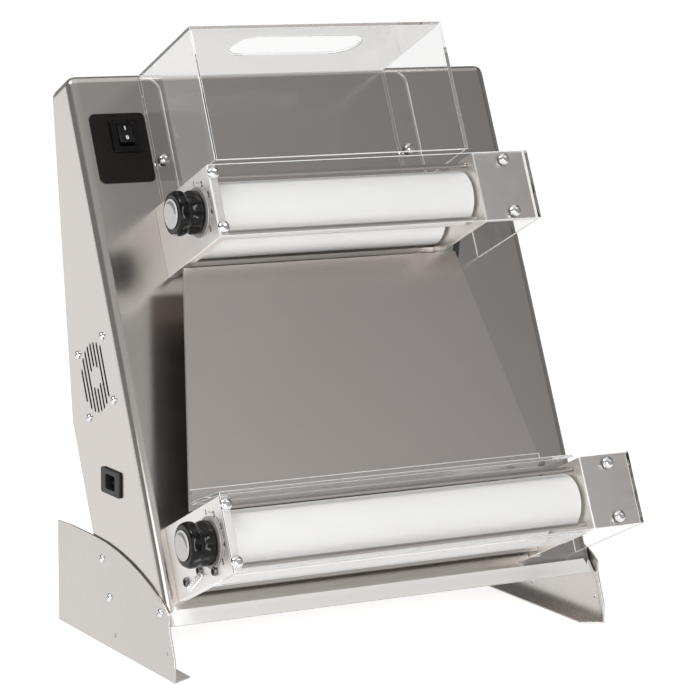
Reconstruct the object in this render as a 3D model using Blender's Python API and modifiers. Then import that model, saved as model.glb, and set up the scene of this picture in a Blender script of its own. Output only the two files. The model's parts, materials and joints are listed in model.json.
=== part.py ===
"""A table-top dough sheeter: a leaning stainless body with two pairs of rollers, a chute and a clear feed hood.

Everything on the leaning front panel is laid out in the panel's own frame: X across the machine, Y up the panel
(s) and Z out of it (h).  Lengths are metres.
"""

import math

import bmesh
import bpy
from mathutils import Matrix, Vector

# ---------------------------------------------------------------- driving dimensions
BODY_WIDTH = 0.530
PANEL_LENGTH = 0.615
PANEL_LOW = 0.056
LEAN = math.radians(24.4)
TOP_DEPTH = 0.0457
BODY_DEPTH = 0.1535
KNEE_S = 0.265
BACK_LOW_S = 0.057
SHEET = 0.0015
FOLD_RADIUS = 0.011
TOUCH = 0.0003
LIP_RISE = 0.0055
LIP_LENGTH = 0.016

FOOT_FRONT = -0.0154
FOOT_NOSE = 0.023
FOOT_BACK = 0.290
FOOT_TOP = 0.117
FOOT_SHEET = 0.002
FOOT_FLANGE = 0.024
FOOT_SCREW_HOLE = 0.0023
FOOT_SCREW_SPOTS = ((0.1053, -0.1367), (0.0615, -0.1359), (0.0185, -0.0118))
FOOT_SPARE_SPOTS = ((0.0199, -0.1376), (-0.0246, -0.0133))

UPPER_SETBACK = 0.222
LOWER_SETBACK = 0.1132
UPPER_CENTRE_X = -0.0246
LOWER_CENTRE_X = -0.0284
UPPER_DROP = 0.19775
LOWER_RAISE = 0.0261
UPPER_FLANGE = 0.0642
LOWER_FLANGE = 0.0603
ROLLER_RADIUS = 0.03025
ROLLER_END_GAP = 0.00275
ROLLER_GAP = 0.005
ROLLER_TRAVEL = 0.004
ROLLER_COVER = 0.0095
ROLLER_CLEAR_BACK = 0.00725
ROLLER_CLEAR_FRONT = 0.00675
LEFT_PLATE = 0.010
BRACKET_SHEET = 0.003
SHAFT_RADIUS = 0.008
JOURNAL_RADIUS = 0.006
RUNNING = 0.00015

KNOB_SWING = math.radians(160)
KNOB_RADIUS = 0.0245
KNOB_FACE = 0.0335
PIN_RADIUS = 0.002
CAM_START = 0.005
BLOCK_HALF = 0.016

GEAR_TEETH = 17
GEAR_SLACK = 0.002
GEAR_WIDTH = 0.009
PULLEY_RADIUS = 0.020
DRIVE_PULLEY_RADIUS = 0.0145
PULLEY_RIM = 0.0035
BELT_WIDTH = 0.007
BELT_THICK = 0.002
DRIVE_S = 0.240
DRIVE_H = -0.075
TIE_ROD_RADIUS = 0.00275
GEARBOX_HALF = 0.045
GEARBOX_LENGTH = 0.068
MOTOR_RADIUS = 0.040
MOTOR_LENGTH = 0.160
MOTOR_FROM_BELT = 0.02945
SCRAPER_CLEAR = 0.0004
SCRAPER_ANGLE = math.radians(212.9)

CLEAR_SHEET = 0.003
HOOD_INSET_LEFT = 0.00975
HOOD_INSET_RIGHT = 0.00455
HOOD_ABOVE_ROLLERS = 0.0038
HOOD_BELOW_TOP = 0.004
HOOD_FLANGE = 0.0253
FEED_SLOT_HALF = 0.080
FEED_SLOT_BACK = 0.060
FEED_SLOT_FRONT = 0.114

CHUTE_H = 0.050
CHUTE_SHEET = 0.0012
CHUTE_HEM = 0.0042

SWITCH_FROM_HOOD = 0.0294
SWITCH_DROP = 0.0735
SWITCH_TILT = math.radians(10)
SWITCH_BODY = (0.0115, 0.0145)
FAN_S = 0.292
FAN_H = -0.0705
FAN_SIZE = 0.080
INLET_Y = 0.144
INLET_Z = 0.1843
INLET_BODY = (0.0155, 0.0115)

# ---------------------------------------------------------------- worked out from the sizes above
HALF_WIDTH = BODY_WIDTH / 2
UPPER_ROLLER = BODY_WIDTH - UPPER_SETBACK
LOWER_ROLLER = BODY_WIDTH - LOWER_SETBACK
UNIT_HALF = ROLLER_RADIUS + ROLLER_COVER
UPPER_MID_S = PANEL_LENGTH - UPPER_DROP
LOWER_MID_S = UNIT_HALF + LOWER_RAISE
REAR_AXIS_H = ROLLER_RADIUS + ROLLER_CLEAR_BACK
FRONT_AXIS_H = REAR_AXIS_H + 2 * ROLLER_RADIUS + ROLLER_GAP
UNIT_DEPTH = FRONT_AXIS_H + ROLLER_RADIUS + ROLLER_CLEAR_FRONT
UPPER_LEFT = UPPER_CENTRE_X - UPPER_ROLLER / 2 - ROLLER_END_GAP - LEFT_PLATE
UPPER_RIGHT = UPPER_CENTRE_X + UPPER_ROLLER / 2 + ROLLER_END_GAP
LOWER_LEFT = LOWER_CENTRE_X - LOWER_ROLLER / 2 - ROLLER_END_GAP - LEFT_PLATE
LOWER_RIGHT = LOWER_CENTRE_X + LOWER_ROLLER / 2 + ROLLER_END_GAP
GEAR_MODULE = (FRONT_AXIS_H - REAR_AXIS_H - ROLLER_TRAVEL - GEAR_SLACK) / GEAR_TEETH
HOOD_LEFT = UPPER_LEFT + HOOD_INSET_LEFT
HOOD_RIGHT = UPPER_RIGHT - HOOD_INSET_RIGHT
HOOD_LOW_S = UPPER_MID_S + UNIT_HALF + HOOD_ABOVE_ROLLERS
HOOD_TOP_S = PANEL_LENGTH - HOOD_BELOW_TOP
CHUTE_LOW_LEFT = LOWER_LEFT + 0.00855
CHUTE_LOW_RIGHT = LOWER_RIGHT + 0.01325
CHUTE_HIGH_LEFT = UPPER_LEFT - 0.00365
CHUTE_HIGH_RIGHT = UPPER_RIGHT + 0.00885
SWITCH_X = HOOD_LEFT - SWITCH_FROM_HOOD
SWITCH_S = PANEL_LENGTH - SWITCH_DROP
FOOT_OUTER = HALF_WIDTH + TOUCH + FOOT_SHEET
SCREW_HEAD = 0.0024
LEFT_EDGE = LOWER_LEFT - KNOB_FACE
RIGHT_EDGE = FOOT_OUTER + TOUCH + SCREW_HEAD
GUARD_FACE = UNIT_DEPTH + TOUCH + CLEAR_SHEET
GUARD_LOW_S = LOWER_MID_S - UNIT_HALF - 2 * TOUCH - CLEAR_SHEET
FRONT_EDGE = GUARD_LOW_S * math.sin(LEAN) - GUARD_FACE * math.cos(LEAN)
BACK_EDGE = PANEL_LENGTH * math.sin(LEAN) + TOP_DEPTH * math.cos(LEAN)
SHIFT_X = -(LEFT_EDGE + RIGHT_EDGE) / 2
SHIFT_Y = -(FRONT_EDGE + BACK_EDGE) / 2

for old in list(bpy.data.objects):
    bpy.data.objects.remove(old, do_unlink=True)

SCENE = bpy.context.scene
PARTS = bpy.data.collections.new("dough_sheeter")
CUTTERS = bpy.data.collections.new("cutters")
SCENE.collection.children.link(PARTS)
SCENE.collection.children.link(CUTTERS)
CUTTERS.hide_render = True


# ---------------------------------------------------------------- materials
def material(name, color, metallic, roughness, alpha=1.0):
    """One Principled finish."""
    made = bpy.data.materials.new(name)
    made.use_nodes = True
    shader = made.node_tree.nodes["Principled BSDF"]
    shader.inputs["Base Color"].default_value = (*color, 1.0)
    shader.inputs["Metallic"].default_value = metallic
    shader.inputs["Roughness"].default_value = roughness
    shader.inputs["Alpha"].default_value = alpha
    made.diffuse_color = (*color, alpha)
    return made


STAINLESS = ((0.56, 0.53, 0.51), 1.0, 0.32)
CHROME = ((0.75, 0.75, 0.75), 1.0, 0.12)
STEEL = ((0.50, 0.50, 0.50), 1.0, 0.35)
ALUMINIUM = ((0.66, 0.65, 0.64), 1.0, 0.40)
WHITE = ((0.86, 0.86, 0.84), 0.0, 0.35)
BLACK = ((0.012, 0.012, 0.013), 0.0, 0.25)
RUBBER = ((0.02, 0.02, 0.02), 0.0, 0.80)
CLEAR = ((0.86, 0.90, 0.92), 0.0, 0.05, 0.25)
GREY = ((0.62, 0.63, 0.64), 0.0, 0.40)
BRASS = ((0.72, 0.55, 0.25), 1.0, 0.35)
NYLON = ((0.72, 0.70, 0.62), 0.0, 0.45)


# ---------------------------------------------------------------- modelling helpers
def frame_empty(name, location, rotation):
    """An empty that carries one of the two frames the pieces are laid out in."""
    empty = bpy.data.objects.new(name, None)
    empty.location = location
    empty.rotation_euler = rotation
    SCENE.collection.objects.link(empty)
    return empty


BODY = frame_empty("body_frame", (SHIFT_X, SHIFT_Y, 0), (0, 0, 0))
PANEL = frame_empty("panel_frame", (SHIFT_X, SHIFT_Y, PANEL_LOW), (math.pi / 2 - LEAN, 0, 0))


def place(name, mesh, finish, parent=PANEL, at=(0, 0, 0), turn=(0, 0, 0)):
    """Links a mesh as a named piece; finish None makes it a cutter."""
    piece = bpy.data.objects.new(name, mesh)
    piece.parent = parent
    piece.location = at
    piece.rotation_euler = turn
    if finish is None:
        CUTTERS.objects.link(piece)
        piece.hide_render = True
        piece.display_type = "WIRE"
    else:
        PARTS.objects.link(piece)
        mesh.materials.clear()
        mesh.materials.append(material(name, *finish))
    return piece


def outline_mesh(name, loops, low, high, along):
    """A flat outline with holes, filled and thickened from low to high along the named axis.

    Outlines are (s, h) for x, (h, x) for s and (x, s) for h.
    """
    curve = bpy.data.curves.new(name, "CURVE")
    curve.dimensions = "2D"
    curve.fill_mode = "BOTH"
    curve.extrude = (high - low) / 2
    for loop in loops:
        spline = curve.splines.new("POLY")
        spline.points.add(len(loop) - 1)
        for point, (a, b) in zip(spline.points, loop):
            point.co = (a, b, 0, 1)
        spline.use_cyclic_u = True
    holder = bpy.data.objects.new(name + "_outline", curve)
    mesh = bpy.data.meshes.new_from_object(holder)
    bpy.data.objects.remove(holder)
    bpy.data.curves.remove(curve)
    shape = bmesh.new()
    shape.from_mesh(mesh)
    bmesh.ops.remove_doubles(shape, verts=shape.verts, dist=1e-7)
    middle = (low + high) / 2
    for vert in shape.verts:
        a, b, w = vert.co.x, vert.co.y, vert.co.z + middle
        vert.co = {"x": (w, a, b), "s": (b, w, a), "h": (a, b, w)}[along]
    bmesh.ops.recalc_face_normals(shape, faces=shape.faces)
    if shape.calc_volume(signed=True) < 0:
        bmesh.ops.reverse_faces(shape, faces=shape.faces)
    shape.to_mesh(mesh)
    shape.free()
    return mesh


def plate(name, loops, low, high, along, finish, parent=PANEL, at=(0, 0, 0)):
    """A piece of even thickness."""
    return place(name, outline_mesh(name, loops, low, high, along), finish, parent, at)


def box(name, low, high, finish=None, parent=PANEL, at=(0, 0, 0), turn=(0, 0, 0)):
    """A block between two corners."""
    shape = bmesh.new()
    bmesh.ops.create_cube(shape, size=1.0)
    size = [b - a for a, b in zip(low, high)]
    centre = [(a + b) / 2 for a, b in zip(low, high)]
    bmesh.ops.scale(shape, vec=size, verts=shape.verts)
    bmesh.ops.translate(shape, vec=centre, verts=shape.verts)
    mesh = bpy.data.meshes.new(name)
    shape.to_mesh(mesh)
    shape.free()
    return place(name, mesh, finish, parent, at, turn)


def turned(name, profile, finish, parent=PANEL, at=(0, 0, 0), steps=24, closed=False):
    """A turned piece about X: profile points are (radius, x), down the outer side from high x to low x."""
    mesh = bpy.data.meshes.new(name)
    count = len(profile)
    edges = [(i, i + 1) for i in range(count - 1)]
    if closed:
        edges.append((count - 1, 0))
    mesh.from_pydata([(r, 0, x) for r, x in profile], edges, [])
    piece = place(name, mesh, finish, parent, at, (0, math.pi / 2, 0))
    screw = piece.modifiers.new("turn", "SCREW")
    screw.axis = "Z"
    screw.angle = math.tau
    screw.steps = steps
    screw.render_steps = steps
    screw.use_merge_vertices = True
    screw.merge_threshold = 0.00001
    screw.use_smooth_shade = True
    return piece


def rod(name, radius, low, high, finish=None, parent=PANEL, at=(0, 0, 0), steps=24, chamfer=0.0):
    """A plain round bar along X, with an optional chamfer at both ends."""
    profile = [(0, high), (radius, high), (radius, low), (0, low)]
    if chamfer:
        profile = [
            (0, high),
            (radius - chamfer, high),
            (radius, high - chamfer),
            (radius, low + chamfer),
            (radius - chamfer, low),
            (0, low),
        ]
    return turned(name, profile, finish, parent, at, steps)


def combine(piece, other, operation):
    """Adds one exact Boolean; the other operand is kept among the cutters."""
    step = piece.modifiers.new(operation.lower(), "BOOLEAN")
    step.operation = operation
    step.solver = "EXACT"
    step.object = other
    return piece


def cut(piece, *others):
    """Removes the cutters from the piece."""
    for other in others:
        combine(piece, other, "DIFFERENCE")
    return piece


def join(piece, *others):
    """Welds the others on to the piece."""
    for other in others:
        combine(piece, other, "UNION")
    return piece


def circle(a, b, radius, count=24, phase=0.0):
    """A round loop."""
    angles = [phase + math.tau * i / count for i in range(count)]
    return [(a + radius * math.cos(t), b + radius * math.sin(t)) for t in angles]


def rounded(a0, b0, a1, b1, radius, steps=4):
    """A rectangle loop with rounded corners."""
    corners = [(a1, b1, 0), (a0, b1, 1), (a0, b0, 2), (a1, b0, 3)]
    loop = []
    for a, b, quarter in corners:
        ca = a - radius if quarter in (0, 3) else a + radius
        cb = b - radius if quarter in (0, 1) else b + radius
        for i in range(steps + 1):
            t = (quarter + i / steps) * math.pi / 2
            loop.append((ca + radius * math.cos(t), cb + radius * math.sin(t)))
    return loop


def bezier(p0, p1, p2, p3, steps):
    """Points of a cubic curve, ends included."""
    points = []
    for i in range(steps + 1):
        t = i / steps
        u = 1 - t
        weights = (u**3, 3 * u * u * t, 3 * u * t * t, t**3)
        points.append(tuple(sum(w * p[k] for w, p in zip(weights, (p0, p1, p2, p3))) for k in (0, 1)))
    return points


def gear_loop(tooth_at):
    """Involute outline with a tooth centred on the angle tooth_at, in (s, h)."""
    pressure = math.radians(20)
    pitch = GEAR_MODULE * GEAR_TEETH / 2
    base = pitch * math.cos(pressure)
    tip = pitch + GEAR_MODULE
    root = pitch - 1.25 * GEAR_MODULE
    half = math.pi / (2 * GEAR_TEETH) + math.tan(pressure) - pressure

    def half_angle(radius):
        roll = math.acos(min(1.0, base / radius))
        return half - (math.tan(roll) - roll)

    radii = (base, pitch, tip)
    loop = []
    for tooth in range(GEAR_TEETH):
        centre = tooth_at + math.tau * tooth / GEAR_TEETH
        rising = [(root, centre - half_angle(base))]
        rising += [(radius, centre - half_angle(radius)) for radius in radii]
        falling = [(radius, centre + half_angle(radius)) for radius in reversed(radii)]
        falling += [(root, centre + half_angle(base))]
        for radius, angle in rising + falling:
            loop.append((radius * math.cos(angle), radius * math.sin(angle)))
    return loop


def belt_loop(start, start_radius, end, end_radius, steps=10):
    """A closed loop stretched round two circles."""
    across = Vector(end) - Vector(start)
    heading = math.atan2(across.y, across.x)
    open_angle = math.acos((start_radius - end_radius) / across.length)
    loop = []
    for i in range(steps + 1):
        t = heading + open_angle + (math.tau - 2 * open_angle) * i / steps
        loop.append((start[0] + start_radius * math.cos(t), start[1] + start_radius * math.sin(t)))
    for i in range(steps + 1):
        t = heading - open_angle + 2 * open_angle * i / steps
        loop.append((end[0] + end_radius * math.cos(t), end[1] + end_radius * math.sin(t)))
    return loop


def belt_windows(start, start_radius, end, end_radius):
    """Where the two strands cross the panel sheet: the two ranges of s."""
    across = Vector(end) - Vector(start)
    heading = math.atan2(across.y, across.x)
    open_angle = math.acos((start_radius - end_radius) / across.length)
    ranges = []
    for side in (1, -1):
        t = heading + side * open_angle
        normal = Vector((math.cos(t), math.sin(t)))
        crossings = []
        for offset in (-0.003, BELT_THICK + 0.003):
            first = Vector(start) + normal * (start_radius + offset)
            last = Vector(end) + normal * (end_radius + offset)
            for level in (0.0, -SHEET):
                share = (level - first.y) / (last.y - first.y)
                crossings.append(first.x + share * (last.x - first.x))
        ranges.append((min(crossings), max(crossings)))
    return ranges


# ---------------------------------------------------------------- body
def folded_prism(name, points, folded, half_width, radius, finish):
    """A prism on an (s, h) outline, its first folded + 1 points rounded over along both sides and at the top."""
    count = len(points)
    shape = bmesh.new()
    left = [shape.verts.new((-half_width, s, h)) for s, h in points]
    right = [shape.verts.new((half_width, s, h)) for s, h in points]
    shape.faces.new(left)
    shape.faces.new(right[::-1])
    for i in range(count):
        j = (i + 1) % count
        shape.faces.new((left[i], right[i], right[j], left[j]))
    bmesh.ops.recalc_face_normals(shape, faces=shape.faces)
    if shape.calc_volume(signed=True) < 0:
        bmesh.ops.reverse_faces(shape, faces=shape.faces)
    weight = shape.edges.layers.float.new("bevel_weight_edge")
    for side in (left, right):
        for a, b in zip(side[:folded], side[1:folded + 1]):
            shape.edges.get((a, b))[weight] = 1.0
    shape.edges.get((left[folded - 1], right[folded - 1]))[weight] = 1.0
    mesh = bpy.data.meshes.new(name)
    shape.to_mesh(mesh)
    shape.free()
    piece = place(name, mesh, finish)
    fold = piece.modifiers.new("folds", "BEVEL")
    fold.width = radius
    fold.segments = 4
    fold.limit_method = "WEIGHT"
    return piece


def front_shell():
    """Front, top and sides folded from one sheet, open at the back and below."""
    outside = [
        (0.0, LIP_RISE),
        (LIP_LENGTH, 0.0),
        (PANEL_LENGTH, 0.0),
        (PANEL_LENGTH, -TOP_DEPTH),
        (KNEE_S, -BODY_DEPTH),
        (BACK_LOW_S, -BODY_DEPTH),
    ]
    rise = LIP_RISE / LIP_LENGTH
    past = 0.010
    deep = BODY_DEPTH + 0.1
    inside = [
        (-past, LIP_RISE - SHEET * math.hypot(1, rise) + past * rise),
        (LIP_LENGTH, -SHEET),
        (PANEL_LENGTH - SHEET, -SHEET),
        (PANEL_LENGTH - SHEET, -deep),
        (-past, -deep),
    ]
    shell = folded_prism("front_shell", outside, 3, HALF_WIDTH, FOLD_RADIUS, STAINLESS)
    cut(shell, folded_prism("shell_inside", inside, 3, HALF_WIDTH - SHEET, FOLD_RADIUS - SHEET, None))
    return shell


def vent_slots():
    """Slots parallel to the front edge in a round field with a solid middle."""
    field, middle, pitch, half = 0.0385, 0.012, 0.0084, 0.0019
    slots = []
    for index in range(-4, 5):
        offset = index * pitch
        reach = math.sqrt(field**2 - offset**2)
        spans = [(-reach, reach)]
        if abs(offset) < middle:
            inner = math.sqrt(middle**2 - offset**2)
            spans = [(-reach, -inner), (inner, reach)]
        for low, high in spans:
            s0, s1, h = FAN_S + low, FAN_S + high, FAN_H + offset
            slots.append(rounded(s0, h - half, s1, h + half, half * 0.98, 3))
    return slots


def on_side(spots):
    """Points of the body's side, given in (s, h), as (y, z) of the body frame."""
    lean_sin, lean_cos = math.sin(LEAN), math.cos(LEAN)
    return [(s * lean_sin - h * lean_cos, PANEL_LOW + s * lean_cos + h * lean_sin) for s, h in spots]


FOOT_SCREWS = on_side(FOOT_SCREW_SPOTS)
FOOT_HOLES = on_side(FOOT_SPARE_SPOTS)


def body():
    """The shell with its openings, and the back and bottom covers."""
    shell = front_shell()
    side = -HALF_WIDTH
    cut(shell, plate("vent_cut", vent_slots(), side - 0.005, side + 0.005, "x", None))
    inlet_y, inlet_z = INLET_BODY
    inlet = box("inlet_cut", (side - 0.01, INLET_Y - inlet_y, INLET_Z - inlet_z),
                (side + 0.01, INLET_Y + inlet_y, INLET_Z + inlet_z), None, BODY)
    cut(shell, inlet)
    half_x, half_s = SWITCH_BODY
    cut(shell, box("switch_cut", (SWITCH_X - half_x, SWITCH_S - half_s, -0.01),
                   (SWITCH_X + half_x, SWITCH_S + half_s, 0.01)))
    past = HALF_WIDTH + 0.035
    for number, (y, z) in enumerate(FOOT_SCREWS):
        cut(shell, rod(f"foot_screw_cut_{number}", FOOT_SCREW_HOLE, -past, past, None, BODY, (0, y, z), 12))
    inside = HALF_WIDTH - SHEET - TOUCH
    slope = math.hypot(BODY_DEPTH - TOP_DEPTH, PANEL_LENGTH - KNEE_S) / (PANEL_LENGTH - KNEE_S)
    top = PANEL_LENGTH - SHEET - TOUCH
    top_h = -TOP_DEPTH - (BODY_DEPTH - TOP_DEPTH) * (PANEL_LENGTH - top) / (PANEL_LENGTH - KNEE_S)
    back = [
        (top, top_h),
        (KNEE_S, -BODY_DEPTH),
        (BACK_LOW_S, -BODY_DEPTH),
        (BACK_LOW_S, -BODY_DEPTH + SHEET),
        (KNEE_S, -BODY_DEPTH + SHEET),
        (top, top_h + SHEET * slope),
    ]
    cover = plate("rear_cover", [back], -inside, inside, "x", STAINLESS)
    corner = FOLD_RADIUS - SHEET
    outside = []
    for side in (-1, 1):
        arc = [(side * (inside - corner + corner * math.sin(t)), top - corner + corner * math.cos(t))
               for t in (0, math.pi / 8, math.pi / 4, 3 * math.pi / 8, math.pi / 2)]
        outside.append(arc + [(side * (inside + 0.01), top - corner), (side * (inside + 0.01), top + 0.01),
                              (side * (inside - corner), top + 0.01)])
    cut(cover, plate("cover_corner_cut", outside, -TOP_DEPTH - 0.02, -TOP_DEPTH + 0.02, "h", None))
    run = Vector((BACK_LOW_S, -BODY_DEPTH)).normalized()
    across = Vector((-run.y, run.x))
    front = run * (SHEET + TOUCH) / -run.y
    rear = run * (BODY_DEPTH - SHEET - TOUCH) / -run.y
    base = [front, rear, rear + across * SHEET, front + across * SHEET]
    plate("base_cover", [[tuple(p) for p in base]], -inside, inside, "x", STAINLESS)
    return shell


def foot(side_name, side):
    """A side plate with a swept top edge and a sole flange turned in under the machine."""
    sweep = bezier((-0.002, FOOT_TOP - 0.048), (0.022, FOOT_TOP - 0.029), (0.100, FOOT_TOP),
                   (FOOT_BACK - 0.100, FOOT_TOP), 8)
    edge = [(FOOT_FRONT, 0.0), (FOOT_FRONT, FOOT_NOSE), (-0.002, FOOT_TOP - 0.060)] + sweep
    edge += [(FOOT_BACK - 0.043, FOOT_TOP), (FOOT_BACK, FOOT_TOP - 0.002), (FOOT_BACK, 0.0)]
    holes = [circle(y, z, FOOT_SCREW_HOLE, 12) for y, z in FOOT_SCREWS]
    holes += [circle(y, z, 0.0022, 12) for y, z in FOOT_HOLES]
    inner = HALF_WIDTH + TOUCH
    low, high = sorted((side * inner, side * FOOT_OUTER))
    piece = plate(side_name + "_foot", [edge] + holes, low, high, "x", STAINLESS, BODY)
    reach = FOOT_OUTER - FOOT_FLANGE
    sole = [
        (side * FOOT_OUTER, FOOT_FRONT),
        (side * (inner + 0.0005), FOOT_FRONT),
        (side * reach, FOOT_FRONT + 0.012),
        (side * reach, FOOT_BACK),
        (side * FOOT_OUTER, FOOT_BACK),
    ]
    join(piece, plate(side_name + "_sole", [sole], 0.0, FOOT_SHEET, "h", None, BODY))
    for number, (y, z) in enumerate(FOOT_SCREWS, 1):
        out = FOOT_OUTER + TOUCH
        profile = [
            (0, out + SCREW_HEAD),
            (0.0028, out + SCREW_HEAD),
            (0.0045, out + 0.0010),
            (0.0045, out),
            (0.0020, out),
            (0.0020, out - 0.009),
            (0, out - 0.009),
        ]
        if side < 0:
            profile = [(r, -x) for r, x in reversed(profile)]
        turned(f"{side_name}_foot_screw_{number}", profile, CHROME, BODY, (0, y, z), 10)


# ---------------------------------------------------------------- roller units
def roller_unit(unit, mid_s, centre_x, roller, flange, shell):
    """One pair of rollers between a thick left plate and a folded right bracket, with its knob and gears."""
    half_gap = roller / 2 + ROLLER_END_GAP
    left = centre_x - half_gap - LEFT_PLATE
    right = centre_x + half_gap
    low_s, high_s = mid_s - UNIT_HALF, mid_s + UNIT_HALF
    window = BLOCK_HALF + TOUCH
    rear = (0, mid_s, REAR_AXIS_H)
    front = (0, mid_s, FRONT_AXIS_H)
    opening = rounded(mid_s - window, FRONT_AXIS_H - ROLLER_TRAVEL - window, mid_s + window,
                      FRONT_AXIS_H + window, 0.0029)

    # Left plate with the window of the moving block and the blind seat of the rear journal.
    outer = rounded(low_s, TOUCH, high_s, UNIT_DEPTH, 0.0010, 2)
    side = plate(unit + "_left_plate", [outer, opening], left, left + LEFT_PLATE, "x", STAINLESS)
    seat = rod(unit + "_seat_cut", JOURNAL_RADIUS + RUNNING, left + 0.003, left + 0.02, None, PANEL, rear)
    cut(side, seat)

    # Right bracket: web, mounting flange on the panel and wide front flange.
    web = BRACKET_SHEET
    section = [
        (TOUCH, right),
        (TOUCH, right + 0.014),
        (TOUCH + web, right + 0.014),
        (TOUCH + web, right + web),
        (UNIT_DEPTH - web, right + web),
        (UNIT_DEPTH - web, right + flange),
        (UNIT_DEPTH, right + flange),
        (UNIT_DEPTH, right + 0.0024),
        (UNIT_DEPTH - 0.0007, right + 0.0007),
        (UNIT_DEPTH - 0.0024, right),
    ]
    bracket = plate(unit + "_right_bracket", [section], low_s, high_s, "s", STAINLESS)
    cut(bracket, plate(unit + "_window_cut", [opening], right - 0.01, right + 0.01, "x", None))
    cut(bracket, rod(unit + "_bearing_cut", SHAFT_RADIUS + RUNNING, right - 0.01, right + 0.01,
                     None, PANEL, rear, 32))

    # Rollers and their shafts.
    roller_low = left + LEFT_PLATE + ROLLER_END_GAP
    roller_high = roller_low + roller
    bore = SHAFT_RADIUS + RUNNING
    drum = [
        (ROLLER_RADIUS - 0.001, roller_high),
        (ROLLER_RADIUS, roller_high - 0.001),
        (ROLLER_RADIUS, roller_low + 0.001),
        (ROLLER_RADIUS - 0.001, roller_low),
        (bore, roller_low),
        (bore, roller_high),
    ]
    shaft_end = right + 0.0252
    for row, centre, journal_end in (("front", front, left + 0.0064), ("rear", rear, left + 0.0033)):
        turned(f"{unit}_{row}_roller", drum, WHITE, PANEL, centre, 32, True)
        step_at = left + 0.0118
        shaft = [
            (0, shaft_end),
            (SHAFT_RADIUS - 0.0006, shaft_end),
            (SHAFT_RADIUS, shaft_end - 0.0006),
            (SHAFT_RADIUS, step_at),
            (JOURNAL_RADIUS, step_at),
            (JOURNAL_RADIUS, journal_end),
            (0, journal_end),
        ]
        turned(f"{unit}_{row}_shaft", shaft, STEEL, PANEL, centre)

    # Sliding blocks; the left one carries the pin that runs in the cam's groove.
    block = rounded(-BLOCK_HALF, -BLOCK_HALF, BLOCK_HALF, BLOCK_HALF, 0.0026)
    left_block = plate(unit + "_left_block", [block], left + 0.0041, left + 0.0115, "x", BRASS, PANEL, front)
    cut(left_block, rod(unit + "_journal_cut", JOURNAL_RADIUS + RUNNING, left + 0.0061, left + 0.02,
                        None, PANEL, front))
    pin_at = (0, mid_s, FRONT_AXIS_H + CAM_START + ROLLER_TRAVEL)
    join(left_block, rod(unit + "_pin", PIN_RADIUS, left + 0.0016, left + 0.0051, None, PANEL, pin_at, 16))
    plate(unit + "_right_block", [block, circle(0, 0, bore)], right - 0.0012, right + 0.0042, "x",
          BRASS, PANEL, front)

    # Gears; the rear one is made in one piece with the belt pulley.
    gear_low = right + 0.005
    gear_high = gear_low + GEAR_WIDTH
    plate(unit + "_front_gear", [gear_loop(-math.pi / 2 + math.pi / GEAR_TEETH), circle(0, 0, bore)],
          gear_low, gear_high, "x", NYLON, PANEL, front)
    gear = plate(unit + "_rear_gear", [gear_loop(math.pi / 2)], gear_low, gear_high, "x", NYLON, PANEL, rear)
    pulley_low = gear_high
    groove = BELT_WIDTH + 2 * TOUCH
    pulley = [
        (0, pulley_low + groove + 0.002),
        (PULLEY_RADIUS + PULLEY_RIM, pulley_low + groove + 0.002),
        (PULLEY_RADIUS + PULLEY_RIM, pulley_low + groove + 0.001),
        (PULLEY_RADIUS, pulley_low + groove + 0.001),
        (PULLEY_RADIUS, pulley_low + 0.001),
        (PULLEY_RADIUS + PULLEY_RIM, pulley_low + 0.001),
        (PULLEY_RADIUS + PULLEY_RIM, pulley_low - 0.001),
        (0, pulley_low - 0.001),
    ]
    join(gear, turned(unit + "_pulley", pulley, None, PANEL, rear))
    cut(gear, rod(unit + "_gear_bore", bore, gear_low - 0.01, gear_high + 0.03, None, PANEL, rear))

    # Belt from the pulley through the panel to the drive shaft.
    belt_low = pulley_low + 0.001 + TOUCH
    start, end = (mid_s, REAR_AXIS_H), (DRIVE_S, DRIVE_H)
    start_radius, end_radius = PULLEY_RADIUS + TOUCH, DRIVE_PULLEY_RADIUS + TOUCH
    inner = belt_loop(start, start_radius, end, end_radius)
    outer = belt_loop(start, start_radius + BELT_THICK, end, end_radius + BELT_THICK)
    plate(unit + "_belt", [outer, inner], belt_low, belt_low + BELT_WIDTH, "x", RUBBER)
    for number, (s0, s1) in enumerate(belt_windows(start, start_radius, end, end_radius)):
        cut(shell, box(f"{unit}_belt_cut_{number}", (belt_low - 0.002, s0, -0.01),
                       (belt_low + BELT_WIDTH + 0.002, s1, 0.01)))

    # Tie rods in front of the rollers and the scraper under the rear one.
    clear_low, clear_high = left + LEFT_PLATE + TOUCH, right - TOUCH
    rod_s, rod_h = ROLLER_RADIUS + 0.00075, FRONT_AXIS_H + 0.020
    for row, side_of in (("top", 1), ("bottom", -1)):
        rod(f"{unit}_{row}_tie_rod", TIE_ROD_RADIUS, clear_low, clear_high, STEEL, PANEL,
            (0, mid_s + side_of * rod_s, rod_h), 12)
    reach = ROLLER_RADIUS + SCRAPER_CLEAR
    tip_s = mid_s + reach * math.cos(SCRAPER_ANGLE)
    tip_h = REAR_AXIS_H + reach * math.sin(SCRAPER_ANGLE)
    blade = [(-0.00925, -0.00785), (-0.00925, 0.00015), (-0.00425, 0.00165), (0.0, 0.0),
             (-0.00175, -0.00535), (-0.00125, -0.00785)]
    plate(unit + "_scraper", [[(tip_s + s, tip_h + h) for s, h in blade]], clear_low, clear_high, "x", STEEL)

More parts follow.
